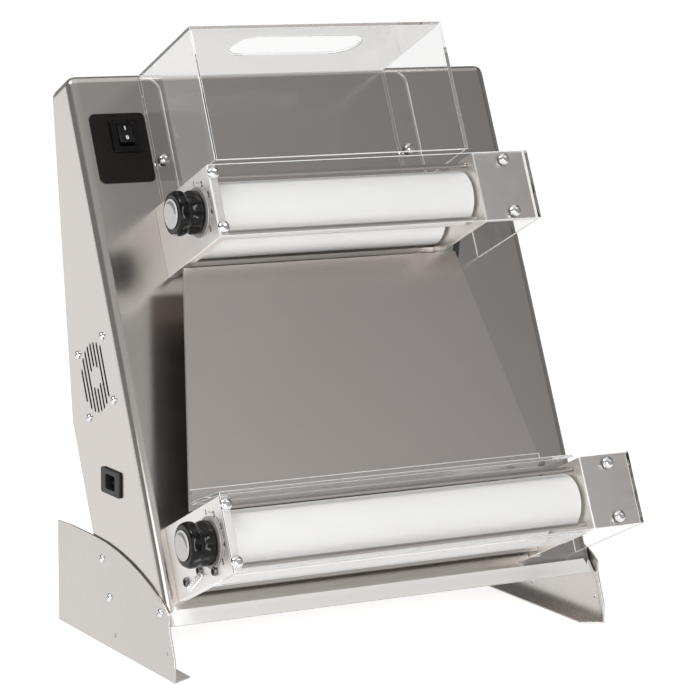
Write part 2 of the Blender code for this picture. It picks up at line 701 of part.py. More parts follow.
    # Knob, cap, dial and the spiral cam that sets the gap.
    cam = turned(unit + "_cam", [
        (0, left + 0.0038),
        (0.0138, left + 0.0038),
        (0.0138, left + TOUCH),
        (0.0050, left + TOUCH),
        (0.0050, left - 0.0200),
        (0, left - 0.0200),
    ], STEEL, PANEL, front)
    cut(cam, plate(unit + "_groove_cut", [spiral_loop()], left + 0.0013, left + 0.0050, "x", None, PANEL, front))
    plate(unit + "_dial", [circle(0, 0, 0.027, 32), circle(0, 0, 0.0053, 16)], left - 0.0023, left - TOUCH,
          "x", GREY, PANEL, front)
    knob = [
        (0, left - 0.0203),
        (0.00515, left - 0.0203),
        (0.00515, left - 0.0026),
        (0.0230, left - 0.0026),
        (0.0240, left - 0.0045),
        (0.0225, left - 0.0120),
        (0.0222, left - 0.0160),
        (KNOB_RADIUS, left - 0.0230),
        (KNOB_RADIUS, left - 0.0275),
        (0.0225, left - 0.0308),
        (0.0190, left - 0.0315),
        (0, left - 0.0315),
    ]
    turned(unit + "_knob", knob, BLACK, PANEL, front)
    cap = [(0, left - 0.0318), (0.0160, left - 0.0318), (0.0160, left - 0.0328), (0.0150, left - KNOB_FACE),
           (0, left - KNOB_FACE)]
    turned(unit + "_knob_cap", cap, GREY, PANEL, front)
    return left, right, belt_low


def spiral_loop():
    """The groove that draws the block's pin inward evenly as the knob turns, in the cam's (s, h)."""
    half = PIN_RADIUS + RUNNING
    steps = 18
    rate = ROLLER_TRAVEL / KNOB_SWING
    spine = []
    for i in range(steps + 1):
        swing = KNOB_SWING * i / steps
        angle = math.pi / 2 - swing
        radius = CAM_START + ROLLER_TRAVEL - rate * swing
        along = Vector((math.sin(angle) * radius - math.cos(angle) * rate,
                        -math.cos(angle) * radius - math.sin(angle) * rate)).normalized()
        spine.append((Vector((radius * math.cos(angle), radius * math.sin(angle))), along))
    left_side = [point + Vector((-along.y, along.x)) * half for point, along in spine]
    right_side = [point - Vector((-along.y, along.x)) * half for point, along in spine]

    def end_cap(point, along, turn_from):
        side = Vector((-along.y, along.x)) * turn_from
        ahead = along * turn_from
        arc = []
        for i in range(1, 6):
            t = math.pi * i / 6
            arc.append(point + (side * math.cos(t) + ahead * math.sin(t)) * half * 1.02)
        return arc

    loop = left_side + end_cap(*spine[-1], 1) + right_side[::-1] + end_cap(*spine[0], -1)
    return [tuple(point) for point in loop]


# ---------------------------------------------------------------- clear covers
def upper_hood():
    """Clear box over the upper rollers, open below and at the panel, with the feed slot in its top."""
    front_h = GUARD_FACE + 0.001
    left, right, sheet = HOOD_LEFT, HOOD_RIGHT, CLEAR_SHEET
    walls = [
        (TOUCH, left),
        (front_h, left),
        (front_h, right),
        (TOUCH, right),
        (TOUCH, right - sheet),
        (front_h - sheet, right - sheet),
        (front_h - sheet, left + sheet),
        (TOUCH, left + sheet),
    ]
    hood = plate("upper_hood", [walls], HOOD_LOW_S, HOOD_TOP_S - 0.0012, "s", CLEAR)
    mid = (left + right) / 2
    corner = (FEED_SLOT_FRONT - FEED_SLOT_BACK) / 2 - 0.0005
    slot = rounded(FEED_SLOT_BACK, mid - FEED_SLOT_HALF, FEED_SLOT_FRONT, mid + FEED_SLOT_HALF, corner, 6)
    edge = [(TOUCH, left), (front_h, left), (front_h, right), (TOUCH, right)]
    join(hood, plate("hood_top", [edge, slot], HOOD_TOP_S - sheet, HOOD_TOP_S, "s", None))
    low, high = HOOD_LOW_S + 0.0035, HOOD_TOP_S - 0.0045
    for number, (a, b) in enumerate(((left + 0.001, left + HOOD_FLANGE), (right - 0.001, right + 0.0285))):
        corner = 0.014
        ear = [(a, low), (b - corner, low)]
        ear += [(b - corner + corner * math.sin(t), low + corner - corner * math.cos(t))
                for t in (math.pi / 8, math.pi / 4, 3 * math.pi / 8, math.pi / 2)]
        ear += [(b - corner + corner * math.cos(t), high - corner + corner * math.sin(t))
                for t in (0, math.pi / 8, math.pi / 4, 3 * math.pi / 8)]
        ear += [(b - corner, high), (a, high)]
        join(hood, plate(f"hood_flange_{number}", [ear], TOUCH, TOUCH + sheet, "h", None))


def upper_guard(left, right):
    """Clear front plate over the upper rollers with a wall down the right-hand side."""
    back = UNIT_DEPTH + TOUCH
    outer = right + UPPER_FLANGE + CLEAR_SHEET + 0.0030
    section = [
        (back, left),
        (GUARD_FACE, left),
        (GUARD_FACE, outer),
        (TOUCH, outer),
        (TOUCH, outer - CLEAR_SHEET),
        (back, outer - CLEAR_SHEET),
    ]
    half = UNIT_HALF - TOUCH
    plate("upper_roller_guard", [section], UPPER_MID_S - half, UPPER_MID_S + half, "s", CLEAR)


def lower_guard(left, right):
    """Clear front plate with folded top and bottom walls, an upturned rear edge and a right-hand wall."""
    back = UNIT_DEPTH + TOUCH
    sheet = CLEAR_SHEET
    top = LOWER_MID_S + UNIT_HALF + 2 * TOUCH
    bottom = GUARD_LOW_S
    section = [
        (bottom, 0.090),
        (bottom, GUARD_FACE),
        (top + sheet, GUARD_FACE),
        (top + sheet + 0.0057, 0.078),
        (top + 0.0215, 0.078),
        (top + 0.0215, 0.075),
        (top + 0.0058, 0.075),
        (top, back),
        (bottom + sheet, back),
        (bottom + sheet, 0.090),
    ]
    guard = plate("lower_roller_guard", [section], left, right - 0.0077, "x", CLEAR)
    outer = right + LOWER_FLANGE + TOUCH + sheet
    wall = [
        (back, right - 0.012),
        (GUARD_FACE, right - 0.012),
        (GUARD_FACE, outer),
        (TOUCH, outer),
        (TOUCH, outer - sheet),
        (back, outer - sheet),
    ]
    join(guard, plate("lower_guard_wall", [wall], bottom + sheet, top, "s", None))


# ---------------------------------------------------------------- chute
def dough_slide():
    """Flaring chute plate on four legs, with its edge hemmed back."""
    high_s = UPPER_MID_S - UNIT_HALF - 0.0045
    low_s = LOWER_MID_S + UNIT_HALF + 0.0055
    def trapezoid(inset):
        """The chute's outline drawn in by an even amount."""
        return [
            (CHUTE_LOW_LEFT + inset, low_s + inset),
            (CHUTE_LOW_RIGHT - inset, low_s + inset),
            (CHUTE_HIGH_RIGHT - inset, high_s - inset),
            (CHUTE_HIGH_LEFT + inset, high_s - inset),
        ]

    chute = plate("dough_slide", [trapezoid(0)], CHUTE_H - CHUTE_SHEET, CHUTE_H, "h", STAINLESS)
    hem = [trapezoid(0.0001), trapezoid(0.0001 + CHUTE_SHEET)]
    join(chute, plate("chute_hem", hem, CHUTE_H - CHUTE_HEM, CHUTE_H - CHUTE_SHEET / 2, "h", None))
    for x in (CHUTE_HIGH_LEFT + 0.075, CHUTE_HIGH_RIGHT - 0.061):
        for s in (low_s + 0.0389, high_s - 0.043):
            join(chute, box("chute_leg", (x - 0.012, s, TOUCH + 0.001), (x + 0.012, s + 0.002, CHUTE_H - 0.0006)))
            join(chute, box("chute_pad", (x - 0.013, s - 0.001, TOUCH), (x + 0.013, s + 0.018, TOUCH + 0.002)))


# ---------------------------------------------------------------- controls
def controls():
    """Label plate and the rocker switch set through it."""
    half_x, half_s = SWITCH_BODY
    x0, x1, s0, s1 = SWITCH_X - half_x, SWITCH_X + half_x, SWITCH_S - half_s, SWITCH_S + half_s
    hole = rounded(x0, s0, x1, s1, 0.0005, 2)
    label = rounded(-HALF_WIDTH + 0.016, SWITCH_S - 0.0535, HOOD_LEFT - 0.0019, SWITCH_S + 0.0265, 0.006)
    plate("control_panel", [label, hole], TOUCH, 0.0013, "h", GREY)
    bezel = rounded(SWITCH_X - 0.0165, SWITCH_S - 0.0190, SWITCH_X + 0.0165, SWITCH_S + 0.0190, 0.003)
    well = rounded(SWITCH_X - 0.0090, SWITCH_S - 0.0125, SWITCH_X + 0.0090, SWITCH_S + 0.0125, 0.0008, 2)
    housing = plate("switch_housing", [bezel], 0.0016, 0.0052, "h", BLACK)
    join(housing, box("switch_body", (x0 + TOUCH, s0 + TOUCH, -0.020), (x1 - TOUCH, s1 - TOUCH, 0.0030)))
    cut(housing, plate("switch_well", [well], -0.006, 0.02, "h", None))
    shape = [(-0.0113, 0.0062), (0, 0.0048), (0.0113, 0.0062), (0.0113, 0.0020), (0.0040, -0.0050),
             (-0.0040, -0.0050), (-0.0113, 0.0020)]
    tilt = Matrix.Rotation(-SWITCH_TILT, 2)
    leaned = [tuple(tilt @ Vector(point)) for point in shape]
    plate("switch_rocker", [leaned], -0.0087, 0.0087, "x", BLACK, PANEL, (SWITCH_X, SWITCH_S, 0.001))


def power_inlet():
    """Three-pin appliance inlet let into the left side."""
    face = -HALF_WIDTH - TOUCH
    flange = rounded(INLET_Y - 0.024, INLET_Z - 0.014, INLET_Y + 0.024, INLET_Z + 0.014, 0.003)
    inlet = plate("power_inlet", [flange], face - 0.0025, face, "x", BLACK, BODY)
    half_y, half_z = INLET_BODY[0] - 0.0005, INLET_BODY[1] - 0.0005
    join(inlet, box("inlet_body", (face - 0.001, INLET_Y - half_y, INLET_Z - half_z),
                    (face + 0.022, INLET_Y + half_y, INLET_Z + half_z), None, BODY))
    well = rounded(INLET_Y - 0.012, INLET_Z - 0.008, INLET_Y + 0.012, INLET_Z + 0.008, 0.002, 2)
    cut(inlet, plate("inlet_well", [well], face - 0.01, face + 0.0155, "x", None, BODY))
    for y, z in ((-0.007, -0.002), (0.007, -0.002), (0.0, 0.002)):
        join(inlet, box("inlet_pin", (face + 0.004, INLET_Y + y - 0.001, INLET_Z + z - 0.002),
                        (face + 0.0165, INLET_Y + y + 0.001, INLET_Z + z + 0.002), None, BODY))


# ---------------------------------------------------------------- drive and cooling
def drive(upper_belt, lower_belt):
    """Gearmotor seated behind the panel and its shaft with one pulley for each belt."""
    centre = (0, DRIVE_S, DRIVE_H)
    right = upper_belt - MOTOR_FROM_BELT
    left = right - GEARBOX_LENGTH
    half = GEARBOX_HALF
    motor = box("gearmotor", (left, DRIVE_S - half, DRIVE_H - half), (right, DRIVE_S + half, DRIVE_H + half),
                ALUMINIUM)
    join(motor, rod("motor_can", MOTOR_RADIUS, left - MOTOR_LENGTH, left + 0.005, None, PANEL, centre, 24, 0.004))
    join(motor, box("motor_seat", (left + 0.005, DRIVE_S - half + 0.010, DRIVE_H),
                    (right - 0.005, DRIVE_S + half - 0.010, -SHEET - TOUCH)))
    top, small, wide = lower_belt + BELT_WIDTH + 0.006, SHAFT_RADIUS, DRIVE_PULLEY_RADIUS + PULLEY_RIM
    profile = [(0, top), (small, top)]
    for belt in (lower_belt, upper_belt):
        low, high = belt - TOUCH, belt + BELT_WIDTH + TOUCH
        profile += [
            (small, high + 0.001),
            (wide, high + 0.001),
            (wide, high),
            (DRIVE_PULLEY_RADIUS, high),
            (DRIVE_PULLEY_RADIUS, low),
            (wide, low),
            (wide, low - 0.001),
            (small, low - 0.001),
        ]
    profile += [(small, right + TOUCH), (0, right + TOUCH)]
    turned("drive_shaft", profile, STEEL, PANEL, centre, 24)


def fan():
    """Square axial fan behind the vent."""
    side = -HALF_WIDTH + SHEET + TOUCH
    half = FAN_SIZE / 2
    deep = 0.025
    centre = (0, FAN_S, FAN_H)
    inner = side + deep
    frame = plate("fan_frame", [rounded(-half, -half, half, half, 0.004, 3), circle(0, 0, 0.038, 32, math.pi / 32)],
                  side, inner - 0.003, "x", BLACK, PANEL, centre)
    spider = [rounded(-half + 0.0002, -half + 0.0002, half - 0.0002, half - 0.0002, 0.004, 3)]
    for quarter in range(4):
        window = []
        for radius, half_strut, steps in ((0.0377, 0.0020, range(7)), (0.017, 0.0025, range(6, -1, -1))):
            margin = math.asin(half_strut / radius)
            for i in steps:
                t = quarter * math.pi / 2 + margin + (math.pi / 2 - 2 * margin) * i / 6
                window.append((radius * math.cos(t), radius * math.sin(t)))
        spider.append(window)
    join(frame, plate("fan_spider", spider, inner - 0.0035, inner, "x", None, PANEL, centre))
    rotor = rod("fan_impeller", 0.0165, side + 0.003, side + deep - 0.0038, BLACK, PANEL, centre, 28)
    blades = bmesh.new()
    for number in range(7):
        made = bmesh.ops.create_cube(blades, size=1.0)["verts"]
        bmesh.ops.scale(blades, vec=(0.0016, 0.0135, 0.021), verts=made)
        tilt = Matrix.Rotation(math.radians(48), 4, "Z")
        spin = Matrix.Rotation(math.tau * number / 7, 4, "X")
        middle = (side + 0.003 + side + deep - 0.0038) / 2
        shift = Matrix.Translation((middle, 0, 0.0258))
        bmesh.ops.transform(blades, matrix=spin @ shift @ tilt, verts=made)
    mesh = bpy.data.meshes.new("fan_blades")
    blades.to_mesh(mesh)
    blades.free()
    join(rotor, place("fan_blades", mesh, None, PANEL, centre))


def main():
    """Builds every piece."""
    shell = body()
    foot("left", -1)
    foot("right", 1)
    left, right, upper_belt = roller_unit("upper", UPPER_MID_S, UPPER_CENTRE_X, UPPER_ROLLER, UPPER_FLANGE, shell)
    upper_guard(left, right)
    left, right, lower_belt = roller_unit("lower", LOWER_MID_S, LOWER_CENTRE_X, LOWER_ROLLER, LOWER_FLANGE, shell)
    lower_guard(left, right)
    upper_hood()
    dough_slide()
    controls()
    power_inlet()
    drive(upper_belt, lower_belt)
    fan()


main()
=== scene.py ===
"""A table-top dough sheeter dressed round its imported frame, in a plain studio.

Everything on the leaning front panel is laid out in the panel's own axes: x across, s up the panel, h out of it.
Lengths are metres.
"""

import json
import logging
import math
from dataclasses import dataclass, field
from enum import Enum

import bmesh
import bpy
from mathutils import Matrix, Vector


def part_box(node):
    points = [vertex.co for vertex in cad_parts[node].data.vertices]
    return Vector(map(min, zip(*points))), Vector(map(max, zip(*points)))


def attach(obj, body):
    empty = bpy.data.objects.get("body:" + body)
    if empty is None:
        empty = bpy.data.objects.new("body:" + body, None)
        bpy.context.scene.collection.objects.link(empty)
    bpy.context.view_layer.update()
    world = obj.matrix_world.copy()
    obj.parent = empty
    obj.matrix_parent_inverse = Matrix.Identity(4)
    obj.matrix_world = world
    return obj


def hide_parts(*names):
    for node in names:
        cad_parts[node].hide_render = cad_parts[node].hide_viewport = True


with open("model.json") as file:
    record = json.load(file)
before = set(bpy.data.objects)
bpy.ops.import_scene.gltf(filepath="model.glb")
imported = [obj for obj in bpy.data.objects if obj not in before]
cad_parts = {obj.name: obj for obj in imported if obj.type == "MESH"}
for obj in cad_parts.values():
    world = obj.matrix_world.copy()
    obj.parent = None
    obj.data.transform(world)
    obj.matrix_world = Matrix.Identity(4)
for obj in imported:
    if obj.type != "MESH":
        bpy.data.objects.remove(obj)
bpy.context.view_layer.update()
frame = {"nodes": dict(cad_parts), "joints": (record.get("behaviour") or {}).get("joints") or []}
LOG = logging.getLogger("dough_sheeter")
TOUCH = 0.0003
FINISHED: dict[str, bpy.types.Material] = {}
Colour = tuple[float, float, float]
Point = tuple[float, float]


# ---------------------------------------------------------------- axes
@dataclass(frozen=True)
class Axes:
    """A set of axes that pieces are laid out in."""

    origin: Vector
    across: Vector
    up: Vector
    out: Vector

    def point(self, x: float, s: float, h: float) -> Vector:
        """The place of (x, s, h) in the row frame."""
        return self.origin + self.across * x + self.up * s + self.out * h

    def matrix(self) -> Matrix:
        """The matrix that takes (x, s, h) to the row frame."""
        turn = Matrix((self.across, self.up, self.out)).transposed().to_4x4()
        return Matrix.Translation(self.origin) @ turn

    def box(self, node: str) -> tuple[Vector, Vector]:
        """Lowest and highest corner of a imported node, measured along these axes.

        Args:
            node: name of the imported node.

        Returns:
            The two corners as (x, s, h).
        """
        undo = self.matrix().inverted()
        points = [undo @ vert.co for vert in frame["nodes"][node].data.vertices]
        low = Vector(min(p[i] for p in points) for i in range(3))
        high = Vector(max(p[i] for p in points) for i in range(3))
        return low, high


def panel_axes() -> Axes:
    """The front panel's axes, from the slide of the upper rollers and the pieces that lie on the panel."""
    slide = next(joint for joint in frame["joints"] if joint["name"] == "upper_gap_slide")
    out = -Vector(slide["axis"]).normalized()
    across = Vector((1.0, 0.0, 0.0))
    rough = Axes(Vector((0.0, 0.0, 0.0)), across, out.cross(across), out)
    low, high = rough.box("front_shell")
    level = rough.box("control_panel")[0].z - TOUCH
    origin = rough.point((low.x + high.x) / 2, low.y, level)
    return Axes(origin, across, rough.up, out)


PANEL = panel_axes()
LEAN = math.atan2(PANEL.up.y, PANEL.up.z)


# ---------------------------------------------------------------- node tree helpers
class Tree:
    """Short hand for building a node tree. A feed is a value for an input, or the output linked to it."""

    def __init__(self, tree: bpy.types.NodeTree) -> None:
        """Wraps the tree."""
        self.tree = tree

    def feed(self, node: bpy.types.Node, feeds: dict[str | int, object]) -> bpy.types.Node:
        """Sets or links inputs of a node, given by name or number."""
        for key, value in feeds.items():
            if isinstance(value, bpy.types.NodeSocket):
                self.tree.links.new(value, node.inputs[key])
            else:
                node.inputs[key].default_value = value
        return node

    def add(self, kind: str, feeds: dict[str | int, object] | None = None, **settings: object) -> bpy.types.Node:
        """Adds a node.

        Args:
            kind: the node's type name.
            feeds: what its inputs are fed.
            settings: property names and values.

        Returns:
            The new node.
        """
        node = self.tree.nodes.new(kind)
        for name, value in settings.items():
            setattr(node, name, value)
        return self.feed(node, feeds or {})

    def combine(self, operation: str, first: object, second: object, clamp: bool = False) -> bpy.types.NodeSocket:
        """The result of a Math node."""
        return self.add("ShaderNodeMath", {0: first, 1: second}, operation=operation, use_clamp=clamp).outputs[0]

    def fade(self, source: object, span: Point, levels: Point, kind: str = "SMOOTHSTEP") -> bpy.types.NodeSocket:
        """A value taken from one span to another."""
        feeds = {"Value": source, "From Min": span[0], "From Max": span[1], "To Min": levels[0], "To Max": levels[1]}
        return self.add("ShaderNodeMapRange", feeds, interpolation_type=kind).outputs["Result"]

    def noise(self, vector: object, scale: object, detail: float, distortion: float = 0.0) -> bpy.types.NodeSocket:
        """A noise from 0 to 1."""
        feeds = {"Vector": vector, "Scale": scale, "Detail": detail, "Distortion": distortion}
        return self.add("ShaderNodeTexNoise", feeds, noise_dimensions="3D").outputs["Fac"]

    def parts(self, kind: str) -> bpy.types.NodeOutputs:
        """X, Y and Z of a Texture Coordinate output."""
        return self.add("ShaderNodeSeparateXYZ", {0: self.add("ShaderNodeTexCoord").outputs[kind]}).outputs

    def rays(self, operation: str, first: str, second: str) -> bpy.types.NodeSocket:
        """A mask made of two kinds of ray, named by their Light Path outputs."""
        path = self.add("ShaderNodeLightPath")
        return self.combine(operation, path.outputs[first], path.outputs[second], operation == "SUBTRACT")


def surface_detail() -> bpy.types.NodeTree:
    """The shared group for grain, wipe marks and fine bumps, built once.

    Returns:
        A shader group with a Tone, a Polish and a Height output, all from 0 to 1.
    """
    name = "surface_detail"
    if name in bpy.data.node_groups:
        return bpy.data.node_groups[name]
    group = bpy.data.node_groups.new(name, "ShaderNodeTree")
    face = group.interface
    for label in ("Grain Vector", "Place"):
        face.new_socket(label, in_out="INPUT", socket_type="NodeSocketVector")
    for label, value in (("Cloud Scale", 9.0), ("Wipe Share", 0.5), ("Grain Share", 0.5)):
        face.new_socket(label, in_out="INPUT", socket_type="NodeSocketFloat").default_value = value
    for label in ("Tone", "Polish", "Height"):
        face.new_socket(label, in_out="OUTPUT", socket_type="NodeSocketFloat")
    build = Tree(group)
    into, out = build.add("NodeGroupInput").outputs, build.add("NodeGroupOutput")
    grain = build.noise(into["Grain Vector"], 1.0, 3.0)
    cloud = build.noise(into["Place"], into["Cloud Scale"], 2.0, 0.6)
    wipe = build.noise(into["Place"], 26.0, 4.0, 1.4)
    for target, share, wide in (("Tone", "Wipe Share", cloud), ("Polish", "Grain Share", wipe)):
        mix = build.add("ShaderNodeMix", {0: into[share], 2: wide, 3: grain}, data_type="FLOAT")
        build.feed(out, {target: mix.outputs[0]})
    build.feed(out, {"Height": grain})
    return group


# ---------------------------------------------------------------- finishes
class Grain(Enum):
    """How a surface's fine texture runs: repeats per metre along x, s and h, and the axes it is measured in."""

    UP_PANEL = ((1100.0, 6.0, 1100.0), True)
    ACROSS = ((6.0, 1100.0, 1100.0), True)
    UPRIGHT = ((1100.0, 1100.0, 6.0), False)
    TURNED = ((500.0, 40.0, 40.0), True)
    MOULDED = ((700.0, 700.0, 700.0), False)
    CAST = ((260.0, 260.0, 260.0), False)


@dataclass(frozen=True)
class Finish:
    """A finish with its own Principled shader, fed by the shared surface group."""

    name: str
    dark: Colour
    light: Colour
    metallic: float
    polish: tuple[float, float]
    grain: Grain = Grain.MOULDED
    bump: float = 0.02
    cloud: float = 9.0
    wipe_share: float = 0.5
    grain_share: float = 0.5
    coat: float = 0.0
    specular: float = 0.5

    def build(self) -> bpy.types.Material:
        """The material, made the first time it is asked for."""
        if self.name not in FINISHED:
            FINISHED[self.name] = self.make()
        return FINISHED[self.name]

    def make(self) -> bpy.types.Material:
        """Makes the material.

        Returns:
            The new material.
        """
        made = bpy.data.materials.new(self.name)
        made.use_nodes = True
        build = Tree(made.node_tree)
        detail = self.detail(build).outputs
        colours = {0: detail["Tone"], 6: (*self.dark, 1.0), 7: (*self.light, 1.0)}
        bump = build.add("ShaderNodeBump", {"Height": detail["Height"], "Strength": self.bump, "Distance": 0.0004})
        build.feed(made.node_tree.nodes["Principled BSDF"], {
            "Base Color": build.add("ShaderNodeMix", colours, data_type="RGBA").outputs[2],
            "Roughness": build.fade(detail["Polish"], (0.25, 0.75), self.polish, "LINEAR"),
            "Normal": bump.outputs["Normal"],
            "Metallic": self.metallic,
            "Coat Weight": self.coat,
            "Coat Roughness": 0.08,
            "Specular IOR Level": self.specular,
        })
        return made

    def detail(self, build: Tree) -> bpy.types.Node:
        """Places the shared surface group with this finish's own values.

        Args:
            build: the material's tree.

        Returns:
            The group node.
        """
        (across, up, out), on_panel = self.grain.value
        place = build.add("ShaderNodeTexCoord").outputs["Object"]
        lean = math.pi / 2 - LEAN if on_panel else 0.0
        feeds = {"Vector": place, "Rotation": (lean, 0.0, 0.0), "Scale": (1 / across, 1 / up, 1 / out)}
        turn = build.add("ShaderNodeMapping", feeds, vector_type="TEXTURE")
        feeds = {"Grain Vector": turn.outputs["Vector"], "Place": place, "Cloud Scale": self.cloud,
                 "Wipe Share": self.wipe_share, "Grain Share": self.grain_share}
        return build.add("ShaderNodeGroup", feeds, node_tree=surface_detail())


@dataclass(frozen=True)
class ClearFinish(Finish):
    """Clear sheet: it bends and mirrors what is seen, and lets the lamps' light straight through."""

    ior: float = 1.49
    through: Colour = (0.95, 0.95, 0.95)

    def make(self) -> bpy.types.Material:
        """Makes the material: clear to the eye, open to the lamps and to what metal mirrors.

        Returns:
            The new material.
        """
        made = super().make()
        build = Tree(made.node_tree)
        shader = made.node_tree.nodes["Principled BSDF"]
        build.feed(shader, {"Transmission Weight": 1.0, "IOR": self.ior})
        clear = build.add("ShaderNodeBsdfTransparent", {"Color": (*self.through, 1.0)})
        lit = build.rays("MAXIMUM", "Is Shadow Ray", "Is Diffuse Ray")
        seen = build.combine("MAXIMUM", lit, build.rays("SUBTRACT", "Is Glossy Ray", "Is Transmission Ray"))
        mix = build.add("ShaderNodeMixShader", {0: seen, 1: shader.outputs["BSDF"], 2: clear.outputs["BSDF"]})
        build.feed(made.node_tree.nodes["Material Output"], {"Surface": mix.outputs["Shader"]})
        return made


STEEL_DARK, STEEL_LIGHT = (0.600, 0.562, 0.533), (0.655, 0.618, 0.588)
PANEL_STEEL = Finish("panel_steel", STEEL_DARK, STEEL_LIGHT, 1.0, (0.17, 0.23), Grain.UP_PANEL, 0.006, 4.0, 0.3)
COVER_STEEL = Finish("cover_steel", STEEL_DARK, STEEL_LIGHT, 1.0, (0.24, 0.34), Grain.UP_PANEL, 0.008, 4.0, 0.3)
FOOT_STEEL = Finish("foot_steel", (0.560, 0.525, 0.500), (0.610, 0.577, 0.550), 1.0, (0.22, 0.32),
                    Grain.UPRIGHT, 0.008, 5.0, 0.3)
CHUTE_STEEL = Finish("chute_steel", (0.675, 0.622, 0.592), (0.725, 0.677, 0.648), 1.0, (0.20, 0.27),
                     Grain.UP_PANEL, 0.006, 4.0, 0.3)
BRACKET_STEEL = Finish("bracket_steel", (0.840, 0.800, 0.770), (0.900, 0.862, 0.832), 1.0, (0.30, 0.42),
                       Grain.ACROSS, 0.010, 12.0, 0.3)
# Painted highlight: a lighter, half-metal copy of the body steel for the bottom lip, standing in for the bright
# reflection the lip shows.
LIP_PAINTED_SHEEN = Finish("lip_painted_sheen", (0.860, 0.840, 0.820), (0.930, 0.915, 0.900), 0.40, (0.40, 0.50),
                   Grain.ACROSS, 0.010, 10.0, 0.3)
PLATE_ALLOY = Finish("plate_alloy", (0.900, 0.875, 0.855), (0.950, 0.930, 0.912), 1.0, (0.46, 0.58),
                     Grain.CAST, 0.030, 14.0, 0.4)
TURNED_STEEL = Finish("turned_steel", (0.42, 0.40, 0.38), (0.52, 0.50, 0.48), 1.0, (0.24, 0.34), Grain.TURNED, 0.006)
ROD_STEEL = Finish("rod_steel", (0.34, 0.315, 0.295), (0.42, 0.395, 0.375), 1.0, (0.26, 0.36), Grain.ACROSS, 0.004)
CHROME = Finish("chrome", (0.78, 0.78, 0.79), (0.86, 0.86, 0.87), 1.0, (0.05, 0.11), Grain.MOULDED, 0.006, 60.0)
DARK_SCREW = Finish("dark_screw", (0.150, 0.145, 0.140), (0.210, 0.205, 0.200), 1.0, (0.18, 0.28), Grain.CAST, 0.01)
ROLLER_WHITE = Finish("roller_white", (0.82, 0.815, 0.80), (0.87, 0.868, 0.858), 0.0, (0.30, 0.42),
                      Grain.TURNED, 0.010, 12.0, 0.35)
GLOSS_BLACK = Finish("gloss_black", (0.003, 0.003, 0.003), (0.006, 0.005, 0.005), 0.0, (0.10, 0.17),
                     Grain.MOULDED, 0.008, 40.0, specular=0.25)
SATIN_BLACK = Finish("satin_black", (0.010, 0.010, 0.010), (0.020, 0.019, 0.018), 0.0, (0.35, 0.50),
                     Grain.MOULDED, 0.04, 30.0, specular=0.35)
LABEL_BLACK = Finish("label_black", (0.006, 0.005, 0.004), (0.010, 0.008, 0.007), 0.0, (0.12, 0.20),
                     Grain.MOULDED, 0.006, 20.0, specular=0.30)
CAP_GREY = Finish("cap_grey", (0.50, 0.49, 0.48), (0.57, 0.56, 0.55), 0.0, (0.30, 0.42), Grain.MOULDED, 0.015, 50.0)
ARC_GREY = Finish("arc_grey", (0.17, 0.165, 0.16), (0.21, 0.205, 0.20), 0.0, (0.40, 0.50), Grain.MOULDED, 0.015, 50.0)
DIAL_GREY = Finish("dial_grey", (0.30, 0.29, 0.28), (0.36, 0.35, 0.34), 0.3, (0.34, 0.46), Grain.MOULDED, 0.015, 40.0)
INK = Finish("printed_ink", (0.006, 0.006, 0.006), (0.012, 0.011, 0.011), 0.0, (0.45, 0.60), Grain.MOULDED, 0.01, 80.0)
WHITE_INK = Finish("white_ink", (0.78, 0.78, 0.77), (0.86, 0.86, 0.85), 0.0, (0.40, 0.55), Grain.MOULDED, 0.01, 80.0)
BRONZE = Finish("bronze_slider", (0.46, 0.31, 0.14), (0.60, 0.43, 0.22), 1.0, (0.28, 0.42), Grain.CAST, 0.03, 40.0)
NYLON = Finish("nylon_gear", (0.60, 0.58, 0.50), (0.70, 0.68, 0.60), 0.0, (0.38, 0.52), Grain.MOULDED, 0.02, 40.0)
RUBBER = Finish("rubber_belt", (0.012, 0.012, 0.012), (0.028, 0.028, 0.028), 0.0, (0.65, 0.85), Grain.CAST, 0.08, 40.0)
CAST_ALLOY = Finish("cast_alloy", (0.46, 0.455, 0.45), (0.58, 0.575, 0.57), 1.0, (0.38, 0.55), Grain.CAST, 0.10, 20.0)
CLEAR = ClearFinish("clear_acrylic", (0.964, 0.964, 0.964), (0.971, 0.971, 0.971), 0.0, (0.0, 0.004),
                    Grain.MOULDED, 0.0, 14.0)
# Partly real, partly painted highlight: the whitish, rough finish of the sawn faces, also laid on the fold strips to
# paint the bright lines along the sheets' edges and bends.
EDGE_FROST_AND_HIGHLIGHT = Finish("acrylic_edge_frost_and_highlight", (0.82, 0.84, 0.84), (0.93, 0.95, 0.95), 0.0, (0.18, 0.34), Grain.MOULDED, 0.02, 60.0)


# ---------------------------------------------------------------- mesh helpers
def object_of(name: str, shape: bmesh.types.BMesh, place: Matrix | None = None) -> bpy.types.Object:
    """Turns a shape into an object at the origin, its place in its mesh.

    Args:
        name: the piece's name.
        shape: the shape; it is freed.
        place: where the shape goes in the row frame.

    Returns:
        The object, linked to the scene.
    """
    if place is not None:
        shape.transform(place)
    bmesh.ops.recalc_face_normals(shape, faces=shape.faces)
    mesh = bpy.data.meshes.new(name)
    shape.to_mesh(mesh)
    shape.free()
    piece = bpy.data.objects.new(name, mesh)
    bpy.context.scene.collection.objects.link(piece)
    return piece


def settled(piece: bpy.types.Object) -> bpy.types.Object:
    """Replaces a piece's mesh by the one its modifiers make, and clears them."""
    graph = bpy.context.evaluated_depsgraph_get()
    mesh = bpy.data.meshes.new_from_object(piece.evaluated_get(graph), preserve_all_data_layers=True, depsgraph=graph)
    piece.modifiers.clear()
    piece.data = mesh
    return piece


def smoothed(piece: bpy.types.Object) -> bpy.types.Object:
    """Shades a piece's faces smooth."""
    piece.data.polygons.foreach_set("use_smooth", [True] * len(piece.data.polygons))
    return piece


